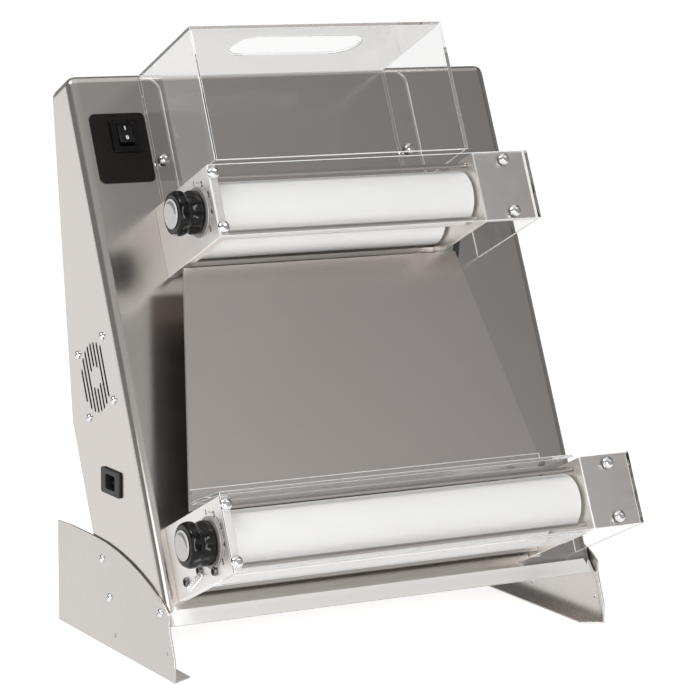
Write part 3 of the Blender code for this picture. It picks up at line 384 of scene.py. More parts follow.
def softened(piece: bpy.types.Object, width: float = 0.0004, segments: int = 2) -> bpy.types.Object:
    """Breaks a piece's sharp edges and evens out its shading.

    Args:
        piece: the piece.
        width: width of the broken edge.
        segments: steps across the broken edge.

    Returns:
        The same piece with a plain mesh.
    """
    smoothed(piece)
    if width > 0:
        edge = piece.modifiers.new("broken_edges", "BEVEL")
        edge.width = width
        edge.segments = segments
        edge.limit_method = "ANGLE"
        edge.angle_limit = math.radians(32.0)
        edge.use_clamp_overlap = False
        edge.miter_outer = "MITER_ARC"
    even = piece.modifiers.new("even_shading", "WEIGHTED_NORMAL")
    even.weight = 80
    even.keep_sharp = False
    return settled(piece)


def merged_copy(node: str) -> bmesh.types.BMesh:
    """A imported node's shape with its points merged and its flat faces made whole.

    Args:
        node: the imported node.

    Returns:
        The shape.
    """
    shape = bmesh.new()
    shape.from_mesh(frame["nodes"][node].data)
    bmesh.ops.remove_doubles(shape, verts=shape.verts, dist=2e-6)
    bmesh.ops.dissolve_limit(shape, angle_limit=math.radians(1.0), verts=shape.verts, edges=shape.edges)
    return shape


def ring_shape(rings: list[list[Vector]]) -> bmesh.types.BMesh:
    """A shape skinned over rings of the same number of points, its ends capped.

    Args:
        rings: the rings in order.

    Returns:
        The shape.
    """
    shape = bmesh.new()
    rows = [[shape.verts.new(point) for point in ring] for ring in rings]
    count = len(rows[0])
    for low, high in zip(rows, rows[1:]):
        for i in range(count):
            j = (i + 1) % count
            shape.faces.new((low[i], low[j], high[j], high[i]))
    shape.faces.new(rows[0][::-1])
    shape.faces.new(rows[-1])
    return shape


def round_angles(steps: int) -> list[float]:
    """Angles of that many even steps round a circle."""
    return [math.tau * i / steps for i in range(steps)]


def turned_shape(profile: list[Point], steps: int = 64) -> bmesh.types.BMesh:
    """A shape turned about the x axis from (radius, x) pairs, its ends capped.

    Args:
        profile: radius and place along the axis, in order.
        steps: points round the axis.

    Returns:
        The shape.
    """
    angles = round_angles(steps)
    return ring_shape([[Vector((x, radius * math.cos(t), radius * math.sin(t))) for t in angles]
                       for radius, x in profile])


def flat_shape(loop: list[Point], low: float, high: float) -> bmesh.types.BMesh:
    """A flat outline in x and s, thick from low to high along h."""
    return ring_shape([[Vector((a, b, level)) for a, b in loop] for level in (low, high)])


def side_shape(loop: list[Point], first: float, last: float) -> bmesh.types.BMesh:
    """A flat outline in s and h, thick from first to last along x."""
    return ring_shape([[Vector((level, a, b)) for a, b in loop] for level in (first, last)])


def rounded_loop(low: Point, high: Point, radius: float, steps: int = 6) -> list[Point]:
    """A rectangle with rounded corners.

    Args:
        low: lowest corner.
        high: highest corner.
        radius: corner radius.
        steps: steps round each corner.

    Returns:
        The loop's points.
    """
    loop = []
    corners = ((high[0] - radius, high[1] - radius), (low[0] + radius, high[1] - radius),
               (low[0] + radius, low[1] + radius), (high[0] - radius, low[1] + radius))
    for quarter, (a, b) in enumerate(corners):
        for i in range(steps + 1):
            angle = (quarter + i / steps) * math.pi / 2
            loop.append((a + radius * math.cos(angle), b + radius * math.sin(angle)))
    return loop


def lettering(name: str, text: str, size: float, place: Matrix, depth: float = 0.00012) -> bpy.types.Object:
    """Raised print as a mesh.

    Args:
        name: the piece's name.
        text: what it says.
        size: height of the type.
        place: where it lies; its x runs along the line and its z off the surface.
        depth: how far it stands off the surface.

    Returns:
        The piece.
    """
    curve = bpy.data.curves.new(name, "FONT")
    curve.body = text
    curve.size = size
    curve.align_x = curve.align_y = "CENTER"
    curve.extrude = depth / 2
    curve.resolution_u = 4
    curve.offset = size * 0.030
    holder = bpy.data.objects.new(name, curve)
    mesh = bpy.data.meshes.new_from_object(holder)
    bpy.data.objects.remove(holder)
    shape = bmesh.new()
    shape.from_mesh(mesh)
    bpy.data.meshes.remove(mesh)
    return object_of(name, shape, place @ Matrix.Translation((0, 0, depth / 2 + 0.00002)))


def merged(name: str, pieces: list[bpy.types.Object]) -> bpy.types.Object:
    """Several pieces as one mesh.

    Args:
        name: the new piece's name.
        pieces: the pieces; they are removed.

    Returns:
        The new piece.
    """
    shape = bmesh.new()
    for piece in pieces:
        shape.from_mesh(piece.data)
        bpy.data.objects.remove(piece)
    return object_of(name, shape)


def mounted(piece: bpy.types.Object, finish: Finish, body: str = "frame", replaces: tuple[str, ...] = ()) -> bpy.types.Object:
    """Gives a piece its finish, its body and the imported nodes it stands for, and reports it.

    Args:
        piece: the finished piece.
        finish: its finish.
        body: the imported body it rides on.
        replaces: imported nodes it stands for.

    Returns:
        The same piece.
    """
    if not piece.data.materials:
        piece.data.materials.append(finish.build())
    else:
        piece.data.materials[0] = finish.build()
    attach(piece, body)
    if replaces:
        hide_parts(*replaces)
    LOG.info("%s: %d faces on %s", piece.name, len(piece.data.polygons), body)
    return piece

def redressed(node: str, name: str, finish: Finish, body: str = "frame", width: float = 0.0004,
              segments: int = 2) -> None:
    """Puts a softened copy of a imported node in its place.

    Args:
        node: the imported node.
        name: the copy's name.
        finish: its finish.
        body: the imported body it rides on.
        width: width of the broken edges.
        segments: steps across the broken edges.
    """
    mounted(softened(object_of(name, merged_copy(node)), width, segments), finish, body, (node,))
def dressed(node: str, finish: Finish) -> None:
    """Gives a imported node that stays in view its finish."""
    piece = frame["nodes"][node]
    piece.data.materials.clear()
    piece.data.materials.append(finish.build())
    LOG.info("%s: kept, %s", node, finish.name)


# ---------------------------------------------------------------- screws
@dataclass
class ScrewHead:
    """A domed head with a six-sided socket, seated at the origin and facing up z."""

    radius: float = 0.0070
    height: float = 0.0044
    socket: float = 0.0026
    steps: int = 24

    @classmethod
    def height_at(cls, radius: float) -> float:
        """Height of a head of that radius."""
        return cls.height * radius / cls.radius

    def hexagon(self, angle: float) -> float:
        """Distance from the axis to the socket's wall in one direction."""
        share = (angle + math.pi / 6) % (math.pi / 3) - math.pi / 6
        return self.socket / math.cos(share)

    def build(self) -> bpy.types.Object:
        """The head as a hidden object."""
        angles = round_angles(self.steps)
        dome = [(1.0, 0.0), (1.0, 0.12), (0.975, 0.30), (0.90, 0.54), (0.78, 0.76), (0.62, 0.92), (0.48, 1.0)]
        rings = [[Vector((r * self.radius * math.cos(t), r * self.radius * math.sin(t), z * self.height))
                  for t in angles] for r, z in dome]
        for level in (self.height, self.height * 0.42):
            rings.append([Vector((self.hexagon(t) * math.cos(t), self.hexagon(t) * math.sin(t), level))
                          for t in angles])
        head = smoothed(object_of("screw_head_pattern", ring_shape(rings)))
        head.data.set_sharp_from_angle(angle=math.radians(42))
        head.hide_render = True
        head.hide_viewport = True
        return head


@dataclass
class ScrewSet:
    """Screw heads set on points by a Geometry Nodes tree."""

    name: str
    finish: Finish = CHROME
    places: list[tuple[Vector, Vector, float]] = field(default_factory=list)

    def add(self, place: Vector, facing: Vector, radius: float) -> None:
        """Adds a screw of that head radius."""
        self.places.append((place, facing, radius))

    def tree(self, head: bpy.types.Object) -> bpy.types.NodeTree:
        """The tree that sets a head on each point.

        Args:
            head: the head's pattern.

        Returns:
            The tree, with inputs Head and Size.
        """
        group = bpy.data.node_groups.new(self.name + "_tree", "GeometryNodeTree")
        face = group.interface
        face.new_socket("Points", in_out="INPUT", socket_type="NodeSocketGeometry")
        face.new_socket("Head", in_out="INPUT", socket_type="NodeSocketObject")
        face.new_socket("Size", in_out="INPUT", socket_type="NodeSocketFloat").default_value = 1.0
        face.new_socket("Screws", in_out="OUTPUT", socket_type="NodeSocketGeometry")
        build = Tree(group)
        into, out = build.add("NodeGroupInput").outputs, build.add("NodeGroupOutput")
        info = build.add("GeometryNodeObjectInfo", {"Object": into["Head"]})
        facing = build.add("GeometryNodeInputNamedAttribute", {"Name": "facing"}, data_type="FLOAT_VECTOR")
        radius = build.add("GeometryNodeInputNamedAttribute", {"Name": "size"}, data_type="FLOAT")
        turn = build.add("FunctionNodeAlignRotationToVector", {"Vector": facing.outputs["Attribute"]}, axis="Z")
        scatter = build.add("GeometryNodeInstanceOnPoints", {
            "Points": into["Points"],
            "Instance": info.outputs["Geometry"],
            "Rotation": turn.outputs["Rotation"],
            "Scale": build.combine("MULTIPLY", radius.outputs["Attribute"], into["Size"]),
        })
        real = build.add("GeometryNodeRealizeInstances", {"Geometry": scatter.outputs["Instances"]})
        coat = build.add("GeometryNodeSetMaterial",
                         {"Geometry": real.outputs["Geometry"], "Material": self.finish.build()})
        build.feed(out, {"Screws": coat.outputs["Geometry"]})
        return group

    def build(self, head: bpy.types.Object, unit: float, replaces: tuple[str, ...] = ()) -> None:
        """Sets the screws and turns them into one plain mesh.

        Args:
            head: the head's pattern.
            unit: the pattern's head radius.
            replaces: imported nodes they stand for.
        """
        mesh = bpy.data.meshes.new(self.name)
        mesh.from_pydata([place for place, _, _ in self.places], [], [])
        mesh.attributes.new("facing", "FLOAT_VECTOR", "POINT")
        mesh.attributes.new("size", "FLOAT", "POINT")
        for i, (_, direction, radius) in enumerate(self.places):
            mesh.attributes["facing"].data[i].vector = direction
            mesh.attributes["size"].data[i].value = radius / unit
        piece = bpy.data.objects.new(self.name, mesh)
        bpy.context.scene.collection.objects.link(piece)
        scatter = piece.modifiers.new("screws", "NODES")
        scatter.node_group = self.tree(head)
        sockets = {item.name: item.identifier for item in scatter.node_group.interface.items_tree
                   if item.in_out == "INPUT"}
        scatter[sockets["Head"]] = head
        scatter[sockets["Size"]] = 1.0
        mounted(settled(piece), self.finish, replaces=replaces)

# ---------------------------------------------------------------- sheet metal
@dataclass
class SheetBody:
    """The folded body, its covers, feet and chute."""

    lip_bend: float = 0.0060
    lip_height: float = 0.0220
    foot_screw_radius: float = 0.0046
    fan_screw_radius: float = 0.0046
    fan_pitch: float = 0.0358

    def build(self, screws: ScrewSet) -> None:
        """Builds and dresses the sheet metal and adds its screws.

        Args:
            screws: the set the screws are added to.
        """
        self.shell()
        redressed("rear_cover", "back_cover", COVER_STEEL)
        dressed("base_cover", COVER_STEEL)
        for side in ("left", "right"):
            redressed(side + "_foot", side + "_foot_plate", FOOT_STEEL)
        redressed("dough_slide", "chute", CHUTE_STEEL, width=0.0003)
        self.foot_screws(screws)
        self.fan_screws(screws)

    def shell(self) -> None:
        """The folded body; the bend above its bottom lip is rolled, not creased. The lip's upward faces get a lighter,
        half-metal finish, a painted highlight for the bright sheen on the lip.
        """
        shape = merged_copy("front_shell")
        undo = PANEL.matrix().inverted()
        bends = []
        for edge in shape.edges:
            if len(edge.link_faces) != 2:
                continue
            start, end = (undo @ vert.co for vert in edge.verts)
            level = abs(start.y - end.y) < 0.0005 and abs(start.z - end.z) < 0.0005
            angle = math.degrees(edge.calc_face_angle(0.0))
            if level and 10 < angle < 30 and start.y < 0.05 and abs(start.x - end.x) > 0.2:
                bends.append(edge)
        bmesh.ops.bevel(shape, geom=bends, offset=self.lip_bend, offset_type="OFFSET", segments=5, profile=0.5,
                        affect="EDGES", clamp_overlap=True)
        shell = softened(object_of("body_shell", shape), 0.0003, 2)
        shell.data.materials.append(PANEL_STEEL.build())
        shell.data.materials.append(LIP_PAINTED_SHEEN.build())
        # Painted highlight: faces low on the panel that lean up, which make up the bottom lip, take the lighter lip
        # finish.
        for face in shell.data.polygons:
            place = undo @ face.center
            facing = undo.to_3x3() @ face.normal
            if place.y < self.lip_height and facing.z > 0.5 and facing.y > 0.15:
                face.material_index = 1
        mounted(shell, PANEL_STEEL, replaces=("front_shell",))

    def foot_screws(self, screws: ScrewSet) -> None:
        """Screws where the feet are fastened to the body."""
        for side, sign in (("left", -1.0), ("right", 1.0)):
            for number in (1, 2, 3):
                low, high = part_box(f"{side}_foot_screw_{number}")
                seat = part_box(side + "_foot")[0].x if sign < 0 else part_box(side + "_foot")[1].x
                outer = low.x if sign < 0 else high.x
                rise = min(sign * seat + TOUCH, sign * outer - ScrewHead.height_at(self.foot_screw_radius))
                place = Vector((sign * rise, (low.y + high.y) / 2, (low.z + high.z) / 2))
                screws.add(place, Vector((sign, 0, 0)), self.foot_screw_radius)

    def fan_screws(self, screws: ScrewSet) -> None:
        """Four screws round the vent, that hold the fan."""
        low, high = PANEL.box("fan_frame")
        side = PANEL.box("front_shell")[0].x
        for s_sign in (-1, 1):
            for h_sign in (-1, 1):
                place = PANEL.point(side - TOUCH, (low.y + high.y) / 2 + s_sign * self.fan_pitch,
                                    (low.z + high.z) / 2 + h_sign * self.fan_pitch)
                screws.add(place, Vector((-1, 0, 0)), self.fan_screw_radius)


# ---------------------------------------------------------------- roller units
@dataclass
class Knob:
    """A lobed hand knob with a waist, its cap, its arc mark and the scale printed round it."""

    unit: str
    lobes: int = 7
    scallop: float = 0.0024
    steps: int = 126
    digit_size: float = 0.0086
    digit_ring: float = 0.0312
    first_angle: float = math.radians(2)
    digit_angle: float = math.radians(35)

    def profile(self) -> list[tuple[float, float, float]]:
        """Rings as share of the length from the skirt, radius and depth of the scallops."""
        return [(0.0, 0.0205, 0.0), (0.02, 0.0222, 0.1), (0.07, 0.0234, 0.4), (0.16, 0.0240, 0.8), (0.26, 0.0240, 1.0),
                (0.35, 0.0236, 1.0), (0.41, 0.0229, 0.8), (0.46, 0.0219, 0.5), (0.50, 0.0216, 0.4), (0.54, 0.0220, 0.5),
                (0.59, 0.0231, 0.8), (0.66, 0.0240, 1.0), (0.76, 0.0244, 1.0), (0.85, 0.0243, 0.7), (0.92, 0.0236, 0.3),
                (0.97, 0.0222, 0.1), (0.99, 0.0208, 0.0), (1.0, 0.0190, 0.0)]

    def build(self) -> None:
        """Builds and dresses the knob, cap and scale."""
        body = self.unit + "_knob"
        low, high = PANEL.box(self.unit + "_knob")
        cap_low, cap_high = PANEL.box(self.unit + "_knob_cap")
        centre = (low + high) / 2
        skirt = PANEL.box(self.unit + "_dial")[0].x - TOUCH
        rings = []
        for share, radius, depth in self.profile():
            x = skirt + (low.x - skirt) * share
            ring = []
            for angle in round_angles(self.steps):
                dip = (0.5 + 0.5 * math.cos(self.lobes * angle)) ** 1.6
                reach = radius - self.scallop * depth * dip
                ring.append(Vector((x, centre.y + reach * math.cos(angle), centre.z + reach * math.sin(angle))))
            rings.append(ring)
        grip = object_of(self.unit + "_grip", ring_shape(rings), PANEL.matrix())
        mounted(softened(grip, 0.0), GLOSS_BLACK, body, (self.unit + "_knob",))
        self.cap(centre, cap_low.x, cap_high.x, body)
        self.scale(centre)

    def cap(self, centre: Vector, face: float, back: float, body: str) -> None:
        """The cap let into the knob, with a raised ring and a darker arc.

        Args:
            centre: the knob's axis as (x, s, h).
            face: x of the cap's face.
            back: x of its back.
            body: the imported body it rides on.
        """
        depth = back - face
        profile = [(0.0155, back), (0.0159, back - 0.3 * depth), (0.0159, face + 0.25 * depth), (0.0152, face),
                   (0.0140, face), (0.0137, face + 0.0003), (0.0002, face + 0.0003)]
        place = PANEL.matrix() @ Matrix.Translation((0, centre.y, centre.z))
        cap = object_of(self.unit + "_cap", turned_shape(profile, 72), place)
        mounted(softened(cap, 0.0), CAP_GREY, body, (self.unit + "_knob_cap",))
        outer, inner = [], []
        for i in range(33):
            share = i / 32
            angle = math.radians(-20 + 130 * share)
            width = 0.0042 * math.sin(math.pi * min(1.0, 0.12 + 0.88 * (1 - share))) + 0.0004
            for row, radius in ((outer, 0.0134), (inner, 0.0134 - width)):
                row.append((radius * math.cos(angle), radius * math.sin(angle)))
        loop = outer + inner[::-1]
        arc = object_of(self.unit + "_cap_arc", side_shape(loop, face + 0.00025, face + 0.0001), place)
        mounted(arc, ARC_GREY, body)

    def scale(self, centre: Vector) -> None:
        """Numbers 1 to 5 and the arc between them, printed on the plate round the knob."""
        plate = PANEL.box(self.unit + "_left_plate")[0].x
        face = Matrix(((0, 0, -1, plate), (0, 1, 0, 0), (1, 0, 0, 0), (0, 0, 0, 1)))
        printed = []
        for number in range(5):
            angle = self.first_angle + self.digit_angle * number
            across, up = math.sin(angle) * self.digit_ring, math.cos(angle) * self.digit_ring
            spot = Matrix.Translation((0, centre.y + up, centre.z + across)) @ face
            printed.append(lettering(f"{self.unit}_number_{number + 1}", str(number + 1), self.digit_size,
                                     PANEL.matrix() @ spot))
            if number < 4:
                printed.append(self.tick(centre, plate, angle + self.digit_angle * 0.30, self.digit_angle * 0.40))
        mounted(merged(self.unit + "_scale", printed), INK)

    def tick(self, centre: Vector, plate: float, start: float, sweep: float) -> bpy.types.Object:
        """A thin printed arc between two numbers.

        Args:
            centre: the knob's axis as (x, s, h).
            plate: x of the surface it lies on.
            start: angle it starts at, from straight up towards the front.
            sweep: how far it runs.

        Returns:
            The piece.
        """
        rows = []
        for radius in (self.digit_ring - 0.00025, self.digit_ring + 0.00025):
            rows.append([(centre.y + radius * math.cos(start + sweep * i / 8),
                          centre.z + radius * math.sin(start + sweep * i / 8)) for i in range(9)])
        loop = rows[0] + rows[1][::-1]
        return object_of("scale_arc", side_shape(loop, plate - 0.00002, plate - 0.00012), PANEL.matrix())


@dataclass
class RollerUnit:
    """A pair of rollers between a thick plate and a folded bracket."""

    name: str
    screw_radius: float = 0.0068
    screw_offset: float = 0.0300
    bracket_screw_inset: float = 0.0262
    roller_edge: float = 0.0022

    def build(self, screws: ScrewSet) -> None:
        """Builds and dresses the unit and adds its screws.

        Args:
            screws: the set the screws are added to.
        """
        for row in ("front", "rear"):
            self.roller(row)
            self.shaft(row)
            gear = f"{self.name}_{row}_gear"
            redressed(gear, gear + "_wheel", NYLON, f"{self.name}_{row}_roller", 0.0002, 1)
        unit = self.name + "_"
        redressed(unit + "left_plate", unit + "side_plate", PLATE_ALLOY, width=0.0006, segments=3)
        redressed(unit + "right_bracket", unit + "bracket", BRACKET_STEEL, width=0.0005)
        for side in ("left", "right"):
            redressed(f"{unit}{side}_block", f"{unit}{side}_slider", BRONZE, unit + "carriage")
        for level in ("top", "bottom"):
            self.tie_rod(level)
        redressed(unit + "scraper", unit + "scraper_blade", ROD_STEEL, width=0.0002)
        dressed(unit + "cam", TURNED_STEEL)
        redressed(unit + "belt", unit + "drive_belt", RUBBER, width=0.0002, segments=1)
        redressed(unit + "dial", unit + "dial_disc", DIAL_GREY)
        Knob(self.name).build()
        self.screws(screws)

    def axis(self, node: str) -> tuple[Vector, Vector, Matrix]:
        """A turned node's box, and the matrix that puts the x axis on its own."""
        low, high = PANEL.box(node)
        place = PANEL.matrix() @ Matrix.Translation((0, (low.y + high.y) / 2, (low.z + high.z) / 2))
        return low, high, place

    def roller(self, row: str) -> None:
        """The white roller, its ends broken round."""
        node = f"{self.name}_{row}_roller"
        low, high, place = self.axis(node)
        radius, edge = (high.y - low.y) / 2, self.roller_edge
        profile = [(0.010, low.x), (radius - edge, low.x)]
        profile += [(radius - edge + edge * math.sin(t), low.x + edge - edge * math.cos(t))
                    for t in (math.pi / 8, math.pi / 4, 3 * math.pi / 8, math.pi / 2)]
        count = 12
        span = high.x - low.x - 2 * edge
        profile += [(radius, low.x + edge + span * i / count) for i in range(1, count)]
        profile += [(radius - edge + edge * math.cos(t), high.x - edge + edge * math.sin(t))
                    for t in (0, math.pi / 8, math.pi / 4, 3 * math.pi / 8, math.pi / 2)]
        profile += [(0.010, high.x)]
        drum = object_of(f"{self.name}_{row}_drum", turned_shape(profile, 96), place)
        mounted(softened(drum, 0.0), ROLLER_WHITE, f"{self.name}_{row}_roller", (node,))

    def shaft(self, row: str) -> None:
        """The roller's shaft with its stepped journal."""
        node = f"{self.name}_{row}_shaft"
        low, high, place = self.axis(node)
        radius, chamfer = (high.y - low.y) / 2, 0.0008
        profile = [(0.0010, low.x), (0.0055, low.x), (0.0060, low.x + 0.0005), (0.0060, low.x + 0.0054),
                   (radius, low.x + 0.0056), (radius, high.x - chamfer), (radius - chamfer, high.x), (0.0010, high.x)]
        bar = object_of(f"{self.name}_{row}_bar", turned_shape(profile, 48), place)
        mounted(softened(bar, 0.0002, 1), TURNED_STEEL, f"{self.name}_{row}_roller", (node,))

    def tie_rod(self, level: str) -> None:
        """A round bar across the front of the rollers."""
        node = f"{self.name}_{level}_tie_rod"
        low, high, place = self.axis(node)
        radius = (high.y - low.y) / 2
        profile = [(0.0004, low.x), (radius - 0.0003, low.x), (radius, low.x + 0.0003), (radius, high.x - 0.0003),
                   (radius - 0.0003, high.x), (0.0004, high.x)]
        bar = object_of(f"{self.name}_{level}_bar", turned_shape(profile, 32), place)
        mounted(softened(bar, 0.0), ROD_STEEL, replaces=(node,))

    def screws(self, screws: ScrewSet) -> None:
        """Domed screws on the front, two on the plate and two on the bracket's flange."""
        plate_low, plate_high = PANEL.box(self.name + "_left_plate")
        bracket = PANEL.box(self.name + "_right_bracket")[1]
        guard = PANEL.box(self.name + "_roller_guard")[1]
        middle = (plate_low.y + plate_high.y) / 2
        columns = ((plate_low.x + plate_high.x) / 2, bracket.x - self.bracket_screw_inset)
        for x in columns:
            for sign in (-1, 1):
                place = PANEL.point(x, middle + sign * self.screw_offset, guard.z + TOUCH / 3)
                screws.add(place, PANEL.out, self.screw_radius)


# ---------------------------------------------------------------- clear covers
@dataclass
class ClearCovers:
    """The feed hood and the two roller guards, their sawn faces frosted and their edges and fold strips given a painted
    highlight.
    """

    edge: float = 0.0004
    sheet: float = 0.0030
    hood_screw_radius: float = 0.0062
    hood_screw_level: float = 0.34
    hood_screw_insets: Point = (0.0132, 0.0160)

    def build(self, screws: ScrewSet) -> None:
        """Builds and dresses the covers and adds the hood's screws.

        Args:
            screws: the set the screws are added to.
        """
        for node, name in (("upper_hood", "feed_hood"), ("upper_roller_guard", "upper_guard"),
                           ("lower_roller_guard", "lower_guard")):
            cover = softened(object_of(name, merged_copy(node)), self.edge)
            cover.data.materials.append(CLEAR.build())
            cover.data.materials.append(EDGE_FROST_AND_HIGHLIGHT.build())
            self.mark_edges(cover)
            mounted(cover, CLEAR, replaces=(node,))
        low, high = PANEL.box("upper_hood")
        s = low.y + (high.y - low.y) * self.hood_screw_level
        for x in (low.x + self.hood_screw_insets[0], high.x - self.hood_screw_insets[1]):
            screws.add(PANEL.point(x, s, 2 * TOUCH + self.sheet), PANEL.out, self.hood_screw_radius)

    def mark_edges(self, cover: bpy.types.Object) -> None:
        """Gives the sawn faces and the fine strips along the folds the whitish edge finish. On the sawn faces it is
        partly the frost of a sawn edge and partly painted highlight; on the fold strips it is only painted highlight.
        """
        for face in cover.data.polygons:
            points = [cover.data.vertices[i].co for i in face.vertices]
            longest = max((a - b).length for a, b in zip(points, points[1:] + points[:1]))
            across = face.area / longest
            cut = self.sheet * 0.6 < across < self.sheet * 1.05 and longest > self.sheet * 1.2
            # Painted highlight: the thin strips along the folds take the whitish edge finish as bright lines.
            fold = across < self.edge * 1.2 and longest > 0.02
            if cut or fold:
                face.material_index = 1


# ---------------------------------------------------------------- controls
@dataclass
class Controls:
    """The label plate, the rocker switch with its boot, and the appliance inlet."""

    mark_size: float = 0.0062
    mark_place: Point = (0.0058, 0.0055)
    rocker_tilt: float = math.radians(-10)
    rocker_slope: float = math.atan2(0.0014, 0.0113)

    def build(self) -> None:
        """Builds and dresses the controls."""
        redressed("control_panel", "label_plate", LABEL_BLACK, width=0.0002, segments=1)
        redressed("switch_housing", "switch_frame", GLOSS_BLACK, width=0.0008, segments=3)
        redressed("switch_rocker", "rocker_cap", GLOSS_BLACK, "rocker", 0.0009, 3)
        self.marks()
        redressed("power_inlet", "inlet_socket", SATIN_BLACK, width=0.0006)

    def marks(self) -> None:
        """I and 0 on the two halves of the rocker."""
        low, high = PANEL.box("switch_rocker")
        x, s, h = (low.x + high.x) / 2, (low.y + high.y) / 2, 0.001
        tilt = Matrix.Rotation(self.rocker_tilt, 4, "X")
        seat = PANEL.matrix() @ Matrix.Translation((x, s, h)) @ tilt
        printed = []
        for text, sign in (("I", 1.0), ("0", -1.0)):
            slope = Matrix.Rotation(sign * self.rocker_slope, 4, "X")
            spot = Matrix.Translation((0, sign * self.mark_place[0], self.mark_place[1])) @ slope
            printed.append(lettering("mark_" + ("on" if sign > 0 else "off"), text, self.mark_size, seat @ spot))
        mounted(merged("rocker_marks", printed), WHITE_INK, "rocker")


@dataclass
class Inside:
    """What shows through the vent and behind the rollers."""

    def build(self) -> None:
        """Dresses the motor, shaft and fan."""
        redressed("gearmotor", "motor_body", CAST_ALLOY, width=0.0015)
        redressed("drive_shaft", "pulley_shaft", TURNED_STEEL, "drive", 0.0003, 1)
        redressed("fan_frame", "fan_body", SATIN_BLACK, segments=1)
        redressed("fan_impeller", "fan_wheel", SATIN_BLACK, "fan", 0.0002, 1)


@dataclass
class PlateHardware:
    """The three socket screws and the small spring on the lower plate's outer face."""

    sockets: tuple[Point, ...] = ((0.0405, 0.0300), (0.0450, 0.0660), (0.0365, 0.1010))
    socket_radius: float = 0.0050
    socket_height: float = 0.0030
    spring_ends: tuple[Point, Point] = ((0.0390, 0.0760), (0.0310, 0.0400))
    spring_radius: float = 0.0028
    wire: float = 0.0007
    coils: int = 8

    def build(self) -> None:
        """Builds and dresses the hardware."""
        plate = PANEL.box("lower_left_plate")[0].x
        for number, (s, h) in enumerate(self.sockets, 1):
            self.socket(number, plate, s, h)
        self.spring(plate)

    def socket(self, number: int, plate: float, s: float, h: float) -> None:
        """A low cap screw with an open six-sided socket."""
        head = ScrewHead()
        angles = round_angles(head.steps)
        out, tall = self.socket_radius, self.socket_height
        rings = [[Vector((plate - TOUCH - x, r * math.cos(t), r * math.sin(t))) for t in angles]
                 for r, x in ((out, 0.0), (out, tall * 0.85), (out * 0.94, tall), (out * 0.74, tall))]
        for level in (tall, tall * 0.25):
            rings.append([Vector((plate - TOUCH - level, head.hexagon(t) * 1.15 * math.cos(t),
                                  head.hexagon(t) * 1.15 * math.sin(t))) for t in angles])
        place = PANEL.matrix() @ Matrix.Translation((0, s, h))
        screw = object_of(f"plate_socket_screw_{number}", ring_shape(rings), place)
        mounted(softened(screw, 0.0002, 1), DARK_SCREW)

    def spring(self, plate: float) -> None:
        """A wire spring stretched between two points of the plate."""
        (s0, h0), (s1, h1) = self.spring_ends
        start, end = Vector((plate - 0.0045, s0, h0)), Vector((plate - 0.0045, s1, h1))
        along = (end - start).normalized()
        side = Vector((1, 0, 0))
        other = along.cross(side)
        steps = self.coils * 14
        rings = []
        for i in range(steps + 1):
            share = i / steps
            turn = math.tau * self.coils * share
            radial = side * math.cos(turn) + other * math.sin(turn)
            centre = start.lerp(end, share) + radial * self.spring_radius
            ring = []
            for k in range(6):
                angle = math.tau * k / 6
                ring.append(centre + (radial * math.cos(angle) + along * math.sin(angle)) * self.wire)
            rings.append(ring)
        coil = smoothed(object_of("plate_spring", ring_shape(rings), PANEL.matrix()))
        mounted(coil, CHROME)


